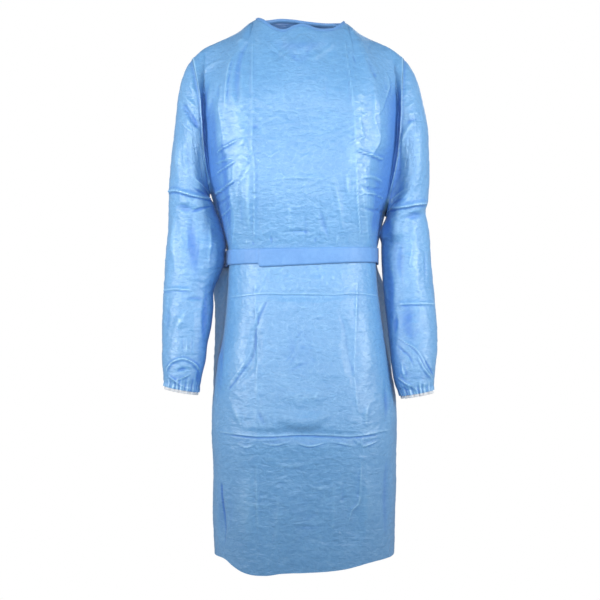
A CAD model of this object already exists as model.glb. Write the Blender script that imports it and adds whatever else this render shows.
"""Disposable isolation gown, filled out as if worn: thin nonwoven cloth with its folds, belt and cuffs."""

import logging
import math
from dataclasses import dataclass, field
from enum import Enum
from functools import partial
from typing import NamedTuple

import bmesh
import bpy
import numpy as np
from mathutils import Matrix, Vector


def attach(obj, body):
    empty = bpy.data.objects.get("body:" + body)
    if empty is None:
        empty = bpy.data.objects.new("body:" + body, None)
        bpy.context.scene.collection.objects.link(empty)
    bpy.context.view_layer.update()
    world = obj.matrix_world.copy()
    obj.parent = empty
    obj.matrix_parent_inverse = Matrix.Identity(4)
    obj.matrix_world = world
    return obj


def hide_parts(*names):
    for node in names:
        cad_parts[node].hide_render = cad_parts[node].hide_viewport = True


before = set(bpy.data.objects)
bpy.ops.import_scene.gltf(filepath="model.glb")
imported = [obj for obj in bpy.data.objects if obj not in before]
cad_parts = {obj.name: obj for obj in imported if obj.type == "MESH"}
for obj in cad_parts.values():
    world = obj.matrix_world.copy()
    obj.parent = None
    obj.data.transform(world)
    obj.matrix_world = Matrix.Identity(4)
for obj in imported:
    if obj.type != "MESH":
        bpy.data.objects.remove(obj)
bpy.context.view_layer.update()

LOG = logging.getLogger("gown")
MM = 0.001
SEAM_GAP = 0.3
BODY = "root"
FRONT_SEED, BACK_SEED = 31, 51
UV_NAME = "cloth"
FOLD_NAME = "fold"

Numbers = np.ndarray
Socket = bpy.types.NodeSocket
Pair = tuple[float, float]
Path2 = tuple[Pair, ...]
Colour = tuple[float, float, float]
Place = tuple[float, float, float]


class Face(Enum):
    """Which half of the gown a piece or a fold is on; the value is the sign of Y."""

    FRONT = -1
    BACK = 1


class Side(Enum):
    """The wearer's side; the value is the sign of X."""

    RIGHT = -1
    LEFT = 1

    @property
    def label(self) -> str:
        """The side's name as the pieces' names have it."""
        return self.name.lower()


SLEEVE_SEEDS = {Side.RIGHT: 71, Side.LEFT: 81}


class Shape(Enum):
    """How a fold is shaped across its line."""

    SOFT = "rounded, both sides alike"
    SHARP = "pressed to an edge, both sides alike"
    LAP = "steep on the right of its line, easy on the left"


class Section(NamedTuple):
    """A cross section: half widths to each side, and depths from the side seams."""

    z: float
    front_right: float
    front_left: float
    front_depth: float
    back_right: float
    back_left: float
    back_depth: float


class Facet(NamedTuple):
    """The facet beside an armhole's edge: its reach across from that edge, and how much corner it cuts."""

    z: float
    right_reach: float
    right_share: float
    left_reach: float
    left_share: float


class Mark(NamedTuple):
    """A point of a line drawn across the gown."""

    x: float
    z: float


class Ring(NamedTuple):
    """A sleeve's section, from its outer to its inner point, with its place and size in depth."""

    outer_x: float
    outer_z: float
    inner_x: float
    inner_z: float
    centre_y: float
    half_depth: float


def ease(t: Numbers | float) -> Numbers:
    """A smooth step from 0 to 1."""
    t = np.clip(t, 0.0, 1.0)
    return t * t * (3 - 2 * t)


def hermite(t: Numbers, start: Numbers, leave: Numbers, end: Numbers, arrive: Numbers) -> Numbers:
    """Points of a cubic curve.

    Args:
        t: Shares of the way, from 0 to 1.
        start: Where the curve starts.
        leave: Its direction and speed there.
        end: Where it ends.
        arrive: Its direction and speed there.

    Returns:
        The curve's points at those shares.
    """
    return (
        (1 + 2 * t) * (1 - t) ** 2 * start
        + t * (1 - t) ** 2 * leave
        + t * t * (3 - 2 * t) * end
        + t * t * (t - 1) * arrive
    )


def smooth_through(table: tuple, column: str, at: Numbers | float, places: Numbers | None = None) -> Numbers:
    """Reads a table's column along a smooth curve through its rows.

    Args:
        table: Rows with named columns, in rising order of the first one.
        column: The column to read.
        at: Where to read it.
        places: Where the rows are, if that isn't their first column.

    Returns:
        The column's value at each place.
    """
    places = np.array([row[0] for row in table], float) if places is None else places
    values = np.array([getattr(row, column) for row in table], float)
    slopes = np.gradient(values, places)
    at = np.clip(np.asarray(at, float), places[0], places[-1])
    i = np.clip(np.searchsorted(places, at, side="right") - 1, 0, len(places) - 2)
    step = places[i + 1] - places[i]
    t = (at - places[i]) / step
    return hermite(t, values[i], step * slopes[i], values[i + 1], step * slopes[i + 1])


def unit(vectors: Numbers) -> Numbers:
    """The same directions at length 1."""
    return vectors / np.linalg.norm(vectors, axis=1, keepdims=True)


def bell(distance: Numbers, width: float) -> Numbers:
    """1 at distance 0, fading smoothly to 0 to both sides."""
    return np.exp(-((distance / width) ** 2))


def lengths_to(points: Numbers) -> Numbers:
    """The length along a polyline up to each of its points."""
    return np.concatenate([[0], np.cumsum(np.linalg.norm(np.diff(points, axis=0), axis=1))])


def at_lengths(points: Numbers, places: Numbers) -> Numbers:
    """Points at those lengths along a polyline."""
    lengths = lengths_to(points)
    return np.stack([np.interp(places, lengths, points[:, k]) for k in range(points.shape[1])], axis=1)


def graded(
    start: float, stop: float, step: float, fine: float, places: tuple[float, ...], reach: float
) -> Numbers:
    """Places along a line, closer together near some of them.

    Args:
        start: The first place.
        stop: The last place.
        step: The usual distance between two places.
        fine: The distance near the given places.
        places: Where the cloth needs more points.
        reach: How far from those the finer distance holds.

    Returns:
        The places from start to stop.
    """
    line = np.linspace(start, stop, 2000)
    gap = np.full(line.shape, float(step))
    for place in places:
        gap = np.minimum(gap, fine + (step - fine) * ease((np.abs(line - place) - reach) / reach))
    count = np.concatenate([[0], np.cumsum(np.abs(np.diff(line)) / gap[1:])])
    return np.interp(np.linspace(0, count[-1], int(round(count[-1])) + 1), count, line)


def rounded_path(points: Numbers, pieces: int) -> Numbers:
    """A polyline through the given points with its corners rounded.

    Args:
        points: The points.
        pieces: How many straight pieces there are between two of them.

    Returns:
        The rounded line's points.
    """
    if len(points) < 3:
        return points
    padded = np.concatenate([[2 * points[0] - points[1]], points, [2 * points[-1] - points[-2]]])
    found = []
    for a, b, c, d in zip(padded[:-3], padded[1:-2], padded[2:-1], padded[3:]):
        for t in np.linspace(0, 1, pieces, endpoint=False):
            bend, twist = 2 * a - 5 * b + 4 * c - d, 3 * b - a - 3 * c + d
            found.append(0.5 * (2 * b + (c - a) * t + bend * t * t + twist * t**3))
    return np.array(found + [points[-1]])


@dataclass(frozen=True)
class Crease:
    """A fold in the cloth, along a line that is drawn over the front or the back view.

    Attributes:
        path: The line's (x, z) points in millimetres.
        half_width: How far the fold reaches to each side of its line.
        lift: How far it stands out of the cloth, or into it where negative.
        shape: Its shape across the line.
        taper: The share of its length over which each end fades out.
    """

    path: Path2
    half_width: float
    lift: float
    shape: Shape = Shape.SOFT
    taper: float = 0.5

    def lift_at(self, x: Numbers, z: Numbers) -> Numbers:
        """How far this fold lifts the cloth at each place of the view.

        Args:
            x: The places across the view.
            z: Their heights.

        Returns:
            The lifts in millimetres.
        """
        lifted = np.zeros(x.shape)
        path = rounded_path(np.array(self.path, float), 5)
        low, high = path.min(axis=0) - self.half_width, path.max(axis=0) + self.half_width
        near = (x > low[0]) & (x < high[0]) & (z > low[1]) & (z < high[1])
        if not near.any():
            return lifted
        px, pz = x[near], z[near]
        steps = np.diff(path, axis=0)
        lengths = np.hypot(steps[:, 0], steps[:, 1])
        starts = np.concatenate([[0], np.cumsum(lengths)])
        best, place, side = np.full(px.shape, 1e9), np.zeros(px.shape), np.zeros(px.shape)
        for start, step, before, length in zip(path[:-1], steps, starts, lengths):
            dx, dz = px - start[0], pz - start[1]
            run = np.clip((dx * step[0] + dz * step[1]) / length**2, 0, 1)
            far = np.hypot(dx - run * step[0], dz - run * step[1])
            closer = far < best
            place = np.where(closer, (before + run * length) / starts[-1], place)
            side = np.where(closer, step[0] * dz - step[1] * dx, side)
            best = np.minimum(best, far)
        fade = ease(np.minimum(place, 1 - place) / self.taper)
        width = self.half_width * (0.35 + 0.65 * fade)
        if self.shape is Shape.SOFT:
            across = ease(1 - best / width)
        elif self.shape is Shape.SHARP:
            across = np.clip(1 - best / width, 0, 1) ** 2
        else:
            reach = np.where(side >= 0, width, np.minimum(width * 0.22, 5.0))
            across = np.clip(1 - best / reach, 0, 1) ** np.where(side >= 0, 1.6, 1.0)
        lifted[near] = self.lift * across * fade
        return lifted


def crease(shape: Shape, half_width: float, lift: float, *path: Pair, taper: float = 0.5) -> Crease:
    """A crease with its shape first and its points last, for the tables."""
    return Crease(path, half_width, lift, shape, taper)


soft, sharp, lap = (partial(crease, shape) for shape in Shape)


@dataclass(frozen=True)
class Wrinkles:
    """A patch of short, shallow creases such as packing and handling leave in nonwoven cloth.

    Attributes:
        middle: The patch's middle in the view, in millimetres.
        reach: Its half width and half height.
        slant: Their middle direction in degrees from level.
        spread: How far the direction may differ.
        seed: The seed of the patch's own random numbers.
    """

    middle: Pair
    reach: Pair
    count: int
    length: float
    lift: float
    slant: float
    spread: float
    seed: int

    def creases(self) -> list[Crease]:
        """The patch's creases.

        Returns:
            The creases, the same ones each time.
        """
        rng = np.random.default_rng(self.seed)
        found = []
        for _ in range(self.count):
            spot = np.array(self.middle) + rng.normal(0, 0.45, 2).clip(-1, 1) * self.reach
            turn = math.radians(self.slant + rng.normal(0, 1) * self.spread)
            length = self.length * rng.uniform(0.5, 1.6)
            run = np.array([math.cos(turn), math.sin(turn)]) * length / 2
            bend = np.array([-run[1], run[0]]) * rng.uniform(-0.35, 0.35)
            lift = self.lift * rng.uniform(0.4, 1.4) * rng.choice((-1.0, 1.0))
            width = rng.uniform(3.5, 8.5)
            shape = (Shape.SHARP, Shape.LAP, Shape.SOFT)[rng.integers(3)]
            path = (tuple(spot - run), tuple(spot + bend), tuple(spot + run))
            found.append(Crease(path, width, lift, shape, 0.5))
        return found


def cloth_noise(x: Numbers, y: Numbers, size: float, seed: int) -> Numbers:
    """Smooth seeded noise from -1 to 1.

    Args:
        x: One coordinate of each place.
        y: The other one.
        size: How far apart its bumps are, in the coordinates' unit.
        seed: The seed of its random numbers.

    Returns:
        The noise at each place.
    """
    rng = np.random.default_rng(seed)
    turns = rng.uniform(0, 2 * math.pi, (64, 64))
    gx, gy = x / size, y / size
    ix, iy = np.floor(gx).astype(int), np.floor(gy).astype(int)
    fx, fy = gx - ix, gy - iy
    corners = []
    for ox, oy in ((0, 0), (1, 0), (0, 1), (1, 1)):
        turn = turns[(ix + ox) % 64, (iy + oy) % 64]
        corners.append(np.cos(turn) * (fx - ox) + np.sin(turn) * (fy - oy))
    sx, sy = ease(fx), ease(fy)
    low = corners[0] + (corners[1] - corners[0]) * sx
    high = corners[2] + (corners[3] - corners[2]) * sx
    return (low + (high - low) * sy) * 1.4


class Nodes:
    """Adds and links the nodes of a material or of the room."""

    def __init__(self, owner: bpy.types.Material | bpy.types.World) -> None:
        """Starts from the owner's own shader node.

        Args:
            owner: The material or the room.
        """
        owner.use_nodes = True
        self.tree = owner.node_tree
        own = "Background" if isinstance(owner, bpy.types.World) else "Principled BSDF"
        self.shader = self.tree.nodes[own]

    def add(self, kind: str, settings: dict | None = None, **sockets: object) -> bpy.types.Node:
        """Adds a node.

        Args:
            kind: The node's type, without its ShaderNode.
            settings: Values of the node's own settings.
            sockets: Values of its input sockets, or the sockets that they are linked from. An
                underscore stands for a space, and a name such as i1 for the socket's number.

        Returns:
            The new node.
        """
        node = self.tree.nodes.new("ShaderNode" + kind)
        for name, value in (settings or {}).items():
            setattr(node, name, value)
        for name, value in sockets.items():
            key = int(name[1:]) if name[0] == "i" and name[1:].isdigit() else name.replace("_", " ")
            self.feed(node.inputs[key], value)
        return node

    def feed(self, socket: Socket, value: object) -> None:
        """Sets a socket, or links it from another one.

        Args:
            socket: The socket.
            value: A value, or the socket that it is linked from.
        """
        if isinstance(value, Socket):
            self.tree.links.new(value, socket)
        else:
            socket.default_value = value

    def maths(self, operation: str, first: object, second: object = 0.0) -> Socket:
        """The result of one sum of two numbers."""
        return self.add("Math", {"operation": operation}, i0=first, i1=second).outputs[0]

    def plus(self, first: object, second: object) -> Socket:
        """Two numbers added."""
        return self.maths("ADD", first, second)

    def times(self, first: object, second: object) -> Socket:
        """Two numbers multiplied."""
        return self.maths("MULTIPLY", first, second)

    def line(self, noise: object) -> Socket:
        """0 along the lines where a noise crosses its middle, more away from them."""
        return self.maths("ABSOLUTE", self.maths("SUBTRACT", noise, 0.5))

    def stripes(self, place: object, pitch: float) -> Socket:
        """A wave with that distance in metres from crest to crest."""
        return self.maths("SINE", self.times(place, 2 * math.pi / pitch))

    def noise(
        self, place: object, scale: float, detail: float, roughness: float = 0.5, distortion: float = 0.0
    ) -> Socket:
        """Cloudy noise from 0 to 1."""
        settings = {"Scale": scale, "Detail": detail, "Roughness": roughness, "Distortion": distortion}
        return self.add("TexNoise", None, Vector=place, **settings).outputs["Fac"]

    def flat(self) -> Socket:
        """The place on the flat cloth."""
        return self.add("UVMap", {"uv_map": UV_NAME}).outputs["UV"]

    def spread(self, value: object, low: float, high: float, new_low: float, new_high: float) -> Socket:
        """A value brought smoothly from one range to another.

        Args:
            value: The value.
            low: The low end of its range.
            high: The high end.
            new_low: What the low end becomes.
            new_high: What the high end becomes.

        Returns:
            The result.
        """
        ends = {"From_Min": low, "From_Max": high, "To_Min": new_low, "To_Max": new_high}
        node = self.add("MapRange", {"interpolation_type": "SMOOTHSTEP"}, Value=value, **ends)
        return node.outputs["Result"]

    def tinted(
        self, tone: object, colour: Colour, value: object, reach: Pair, shares: Pair
    ) -> Socket:
        """A tone brought towards a colour.

        Args:
            tone: The tone so far.
            colour: The colour.
            value: The number that says where.
            reach: The range of that number.
            shares: How much of the colour there is at that range's two ends.

        Returns:
            The new tone.
        """
        return self.blend(self.spread(value, *reach, *shares), tone, (*colour, 1))

    def blend(self, share: object, first: object, second: object, kind: str = "MIX") -> Socket:
        """A colour between two colours.

        Args:
            share: How much of the second colour there is.
            first: The first colour.
            second: The second one.
            kind: How they are blended.

        Returns:
            The colour.
        """
        node = self.add("Mix", {"data_type": "RGBA", "blend_type": kind})
        self.feed(node.inputs[0], share)
        self.feed(node.inputs[6], first)
        self.feed(node.inputs[7], second)
        return node.outputs[2]

    def bump(self, height: object, distance: float, strength: float = 1.0, normal: object = None) -> Socket:
        """A bump of that height in metres, on top of another one or none.

        Args:
            height: The height, as a number from 0 to 1 or so.
            distance: What 1 stands for, in metres.
            strength: How much of it shows.
            normal: The bump beneath it, if any.

        Returns:
            The normal.
        """
        node = self.add("Bump", None, Height=height, Distance=distance, Strength=strength)
        if normal is not None:
            self.feed(node.inputs["Normal"], normal)
        return node.outputs["Normal"]


@dataclass(frozen=True)
class NonwovenFinish:
    """Thin spunbond cloth: matted fibres, small bond points, a satin face and faint handling marks.

    Attributes:
        deep_colour: Its colour where the fibres lie thicker.
        fold_colour: Its colour deep in a fold, where layers lie close and colour each other.
        worn_colour: Its colour on pressed ridges, where the fibres are stretched.
        roughness: How matt the face is.
        bond_pitch: The distance between two bond points, in metres.
        crinkle: The depth of the fine crinkles, in metres.
        fibre_depth: The depth between the fibres, in metres.
        inner_shade: How dark its inner side is beside the colour in a fold.
        sheen: How much the fibres' ends catch light at a low angle.
        gloss: How strong its satin shine is.
    """

    name: str
    colour: Colour
    deep_colour: Colour
    fold_colour: Colour
    worn_colour: Colour
    roughness: float = 0.46
    bond_pitch: float = 0.0021
    crinkle: float = 0.0007
    fibre_depth: float = 0.00016
    inner_shade: float = 0.62
    sheen: float = 0.10
    gloss: float = 0.9

    def material(self) -> bpy.types.Material:
        """The finished material."""
        material = bpy.data.materials.new(self.name)
        nodes = Nodes(material)
        place = nodes.add("TexCoord").outputs["Object"]
        stretched = nodes.add("Mapping", None, Vector=place, Scale=(0.55, 0.55, 1.5)).outputs["Vector"]
        fibres = nodes.noise(place, 330.0, 4.0, 0.7)
        mottle = nodes.noise(place, 120.0, 3.0, 0.6)
        crinkle = nodes.noise(stretched, 95.0, 5.0, 0.55, 0.6)
        rumple = nodes.noise(stretched, 26.0, 3.0, 0.5, 0.9)
        colours = rumple.node.outputs["Color"]
        swirl = nodes.add("VectorMath", {"operation": "SCALE"}, Vector=colours, Scale=0.03).outputs[0]
        bent = nodes.add("VectorMath", {"operation": "ADD"}, i0=place, i1=swirl).outputs[0]
        cells = nodes.add("TexVoronoi", {"feature": "DISTANCE_TO_EDGE"}, Vector=bent, Scale=52.0)
        edges = cells.outputs["Distance"]
        flakes = nodes.add("TexVoronoi", None, Vector=bent, Scale=104.0).outputs["Distance"]
        points = self.bond_points(nodes)
        folded = nodes.add("Attribute", {"attribute_name": FOLD_NAME}).outputs["Fac"]

        shade = nodes.plus(nodes.times(nodes.noise(place, 19.0, 5.0, 0.62), 0.5), nodes.times(mottle, 0.5))
        pale = tuple(min(1.0, c * 1.12 + 0.02) for c in self.colour)
        shaded = tuple(c * self.inner_shade for c in self.fold_colour)
        inside = nodes.add("NewGeometry").outputs["Backfacing"]
        tone = nodes.tinted((*self.colour, 1), self.deep_colour, shade, (0.36, 0.64), (0.0, 1.0))
        tone = nodes.tinted(tone, pale, fibres, (0.5, 0.75), (0.0, 0.35))
        tone = nodes.blend(nodes.times(points, 0.16), tone, (*self.deep_colour, 1))
        for colour, value, reach, shares in (
            (self.worn_colour, nodes.line(rumple), (0.0, 0.018), (0.15, 0.0)),
            (self.worn_colour, nodes.line(crinkle), (0.0, 0.025), (0.10, 0.0)),
            (self.worn_colour, edges, (0.0, 0.05), (0.12, 0.0)),
            (self.deep_colour, flakes, (0.5, 0.8), (0.0, 0.25)),
            (self.fold_colour, folded, (0.0, 1.0), (0.0, 1.0)),
            (self.worn_colour, folded, (-1.0, 0.0), (1.0, 0.0)),
            (shaded, inside, (0.0, 1.0), (0.0, 0.9)),
        ):
            tone = nodes.tinted(tone, colour, value, reach, shares)
        nodes.feed(nodes.shader.inputs["Base Color"], tone)

        rough = nodes.plus(nodes.spread(mottle, 0.3, 0.7, -0.05, 0.07), self.roughness)
        rough = nodes.plus(rough, nodes.times(folded, 0.2))
        rough = nodes.maths("SUBTRACT", rough, nodes.times(points, 0.08))
        nodes.feed(nodes.shader.inputs["Roughness"], rough)

        normal = nodes.bump(nodes.line(rumple), self.crinkle * 5, 0.6)
        normal = nodes.bump(nodes.spread(edges, 0.0, 0.34, 0.0, 1.0), self.crinkle * 0.8, 0.6, normal)
        normal = nodes.bump(flakes, self.crinkle * 0.9, 0.6, normal)
        normal = nodes.bump(crinkle, self.crinkle * 2.6, 0.75, normal)
        pitted = nodes.maths("SUBTRACT", fibres, nodes.times(points, 0.6))
        nodes.feed(nodes.shader.inputs["Normal"], nodes.bump(pitted, self.fibre_depth, 0.6, normal))
        nodes.shader.inputs["Sheen Weight"].default_value = self.sheen
        nodes.shader.inputs["Sheen Roughness"].default_value = 0.4
        nodes.shader.inputs["Specular IOR Level"].default_value = self.gloss
        return material

    def bond_points(self, nodes: Nodes) -> Socket:
        """The small round points at which the fibres are bonded, 1 at their middles.

        Args:
            nodes: The material's nodes.

        Returns:
            From 0 to 1 at each place.
        """
        parts = nodes.add("SeparateXYZ", None, Vector=nodes.flat()).outputs
        rows, columns = (nodes.stripes(parts[name], 2 * self.bond_pitch) for name in ("X", "Y"))
        waves = nodes.times(rows, columns)
        return nodes.spread(nodes.maths("ABSOLUTE", waves), 0.72, 0.95, 0.0, 1.0)


@dataclass(frozen=True)
class TapeFinish:
    """Folded and sealed tape of the same cloth, with fine lines along it and a dimpled seal at its edges.

    Attributes:
        deep_colour: Its colour between the lines.
        line_pitch: The distance between two lines, in metres.
    """

    name: str
    colour: Colour
    deep_colour: Colour
    line_pitch: float = 0.0024

    def material(self) -> bpy.types.Material:
        """The finished material."""
        material = bpy.data.materials.new(self.name)
        nodes = Nodes(material)
        place = nodes.add("TexCoord").outputs["Object"]
        parts = nodes.add("SeparateXYZ", None, Vector=nodes.flat()).outputs
        lines, dots = nodes.stripes(parts["Y"], self.line_pitch), nodes.stripes(parts["X"], self.line_pitch)
        mottle = nodes.noise(place, 140.0, 4.0, 0.6)
        shade = nodes.plus(nodes.times(nodes.noise(place, 24.0, 3.0), 0.6), nodes.times(mottle, 0.4))
        tone = nodes.tinted((*self.colour, 1), self.deep_colour, shade, (0.38, 0.62), (0.0, 1.0))
        nodes.feed(nodes.shader.inputs["Base Color"], tone)
        weave = nodes.plus(nodes.times(lines, 0.5), nodes.times(dots, 0.25))
        normal = nodes.bump(weave, 0.00012, 0.7, nodes.bump(mottle, 0.0009, 0.6))
        nodes.feed(nodes.shader.inputs["Normal"], normal)
        nodes.feed(nodes.shader.inputs["Roughness"], nodes.spread(mottle, 0.3, 0.7, 0.46, 0.58))
        nodes.shader.inputs["Sheen Weight"].default_value = 0.12
        return material


@dataclass(frozen=True)
class ElasticFinish:
    """Knitted white elastic with ribs along the sleeve.

    Attributes:
        groove_colour: Its colour between the ribs.
        rib_pitch: The distance between two ribs, in metres.
    """

    name: str
    colour: Colour
    groove_colour: Colour
    rib_pitch: float = 0.0016

    def material(self) -> bpy.types.Material:
        """The finished material."""
        material = bpy.data.materials.new(self.name)
        nodes = Nodes(material)
        place = nodes.add("TexCoord").outputs["Object"]
        parts = nodes.add("SeparateXYZ", None, Vector=nodes.flat()).outputs
        ribs, loops = nodes.stripes(parts["X"], self.rib_pitch), nodes.stripes(parts["Y"], self.rib_pitch / 2)
        knit = nodes.plus(ribs, nodes.times(loops, 0.35))
        fuzz = nodes.noise(place, 420.0, 3.0)
        tone = nodes.tinted((*self.groove_colour, 1), self.colour, knit, (-1.0, 0.6), (0.0, 1.0))
        tone = nodes.tinted(tone, self.groove_colour, fuzz, (0.35, 0.7), (0.0, 0.2))
        nodes.feed(nodes.shader.inputs["Base Color"], tone)
        nodes.feed(nodes.shader.inputs["Roughness"], nodes.spread(fuzz, 0.3, 0.7, 0.72, 0.88))
        nodes.feed(nodes.shader.inputs["Normal"], nodes.bump(nodes.plus(knit, fuzz), 0.0003, 0.8))
        nodes.shader.inputs["Sheen Weight"].default_value = 0.3
        return material


@dataclass(frozen=True)
class FloorFinish:
    """A plain pale floor."""

    name: str = "studio_floor"
    colour: Colour = (0.86, 0.87, 0.88)

    def material(self) -> bpy.types.Material:
        """The finished material."""
        material = bpy.data.materials.new(self.name)
        nodes = Nodes(material)
        place = nodes.add("TexCoord").outputs["Object"]
        grain = nodes.noise(place, 60.0, 3.0)
        darker = tuple(c * 0.97 for c in self.colour)
        tone = nodes.tinted((*self.colour, 1), darker, grain, (0.4, 0.6), (0.0, 1.0))
        nodes.feed(nodes.shader.inputs["Base Color"], tone)
        nodes.shader.inputs["Roughness"].default_value = 0.85
        return material


@dataclass
class Finishes:
    """The gown's finishes, made once and shared by its pieces."""

    cloth: bpy.types.Material
    tape: bpy.types.Material
    elastic: bpy.types.Material


@dataclass
class ClothGrid:
    """A surface as rows of points in millimetres.

    Attributes:
        points: The rows of points.
        outwards: 1 or -1, so that the normals leave the gown's inside.
        closed: Whether each row closes on itself.
        folds: How deep in a fold each point is, up to 1, or how far up on a pressed ridge, down to -1.
    """

    points: Numbers
    outwards: int
    closed: bool = False
    folds: Numbers | None = None

    def normals(self) -> Numbers:
        """Unit normals that leave the gown's inside."""
        grid = self.points
        if self.closed:
            grid = np.concatenate([grid[:, -1:], grid, grid[:, :1]], axis=1)
        found = np.cross(np.gradient(grid, axis=1), np.gradient(grid, axis=0)) * self.outwards
        found = found / np.maximum(np.linalg.norm(found, axis=2, keepdims=True), 1e-9)
        return found[:, 1:-1] if self.closed else found

    def raised(self, lift: Numbers | float) -> "ClothGrid":
        """The surface moved along its normals."""
        lift = np.broadcast_to(lift, self.points.shape[:2])
        points = self.points + self.normals() * lift[:, :, None]
        return ClothGrid(points, self.outwards, self.closed, self.folds)

    def joined(self) -> Numbers:
        """The points, with the first one of each row again at its end where the rows are closed."""
        return np.concatenate([self.points, self.points[:, :1]], axis=1) if self.closed else self.points

    def flat(self) -> Numbers:
        """Each point's place on the flat cloth, in metres."""
        grid = self.joined()
        across = np.linalg.norm(np.diff(grid, axis=1), axis=2)
        across = np.concatenate([np.zeros((len(grid), 1)), np.cumsum(across, axis=1)], axis=1)
        across -= across[:, across.shape[1] // 2][:, None]
        up = lengths_to(grid[:, grid.shape[1] // 2])
        return np.stack([across, np.broadcast_to(up[:, None], across.shape)], axis=2) * MM

    def piece(self, name: str, material: bpy.types.Material) -> bpy.types.Object:
        """Makes the surface into an object.

        Args:
            name: The object's name.
            material: Its finish.

        Returns:
            The new object, smooth shaded, with the flat cloth as its UV map.
        """
        rows, columns = self.points.shape[:2]
        numbers = np.arange(rows * columns).reshape(rows, columns)
        right = np.roll(numbers, -1, axis=1) if self.closed else numbers[:, 1:]
        left = numbers if self.closed else numbers[:, :-1]
        corners = np.stack([left[:-1], right[:-1], right[1:], left[1:]], axis=2)
        flat = self.flat()
        there = np.stack([flat[:-1, :-1], flat[:-1, 1:], flat[1:, 1:], flat[1:, :-1]], axis=2)
        if self.outwards < 0:
            corners, there = corners[:, :, ::-1], there[:, :, ::-1]
        mesh = bpy.data.meshes.new(name)
        mesh.from_pydata((self.points.reshape(-1, 3) * MM).tolist(), [], corners.reshape(-1, 4).tolist())
        layer = mesh.uv_layers.new(name=UV_NAME)
        layer.data.foreach_set("uv", there.reshape(-1).astype(np.float32))
        if self.folds is not None:
            depth = mesh.attributes.new(FOLD_NAME, "FLOAT", "POINT")
            depth.data.foreach_set("value", np.clip(self.folds, -1, 1).reshape(-1).astype(np.float32))
        return linked(name, mesh, material)


def linked(name: str, mesh: bpy.types.Mesh, material: bpy.types.Material) -> bpy.types.Object:
    """Links a mesh as a smooth-shaded object with that finish.

    Args:
        name: The object's name.
        mesh: The mesh.
        material: Its finish.

    Returns:
        The new object.
    """
    mesh.materials.append(material)
    mesh.shade_smooth()
    mesh.validate()
    piece = bpy.data.objects.new(name, mesh)
    bpy.context.scene.collection.objects.link(piece)
    return piece


def swept(name: str, profiles: Numbers, closed_path: bool, material: bpy.types.Material) -> bpy.types.Object:
    """Sweeps a closed profile along a path.

    Args:
        name: The object's name.
        profiles: For each place on the path, the profile's points in millimetres.
        closed_path: Whether the last place joins the first.
        material: Its finish.

    Returns:
        The new closed object, with lengths along and round it as its UV map.
    """
    count, corners = profiles.shape[:2]
    build = bmesh.new()
    layer = build.loops.layers.uv.new(UV_NAME)
    verts = [[build.verts.new(point * MM) for point in profile] for profile in profiles]
    way = lengths_to(profiles.mean(axis=1)) * MM
    around = lengths_to(np.concatenate([profiles[0], profiles[0][:1]])) * MM
    way = np.append(way, way[-1] + (way[-1] - way[-2]))
    for i in range(count if closed_path else count - 1):
        for j in range(corners):
            k = (j + 1) % corners
            n = (i + 1) % count
            face = build.faces.new((verts[i][j], verts[i][k], verts[n][k], verts[n][j]))
            spots = ((i, j), (i, j + 1), (i + 1, j + 1), (i + 1, j))
            for loop, (a, b) in zip(face.loops, spots):
                loop[layer].uv = (way[a], around[b])
    if not closed_path:
        build.faces.new(verts[0][::-1])
        build.faces.new(verts[-1])
    if build.calc_volume(signed=True) < 0:
        bmesh.ops.reverse_faces(build, faces=build.faces)
    mesh = bpy.data.meshes.new(name)
    build.to_mesh(mesh)
    build.free()
    return linked(name, mesh, material)


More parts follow.
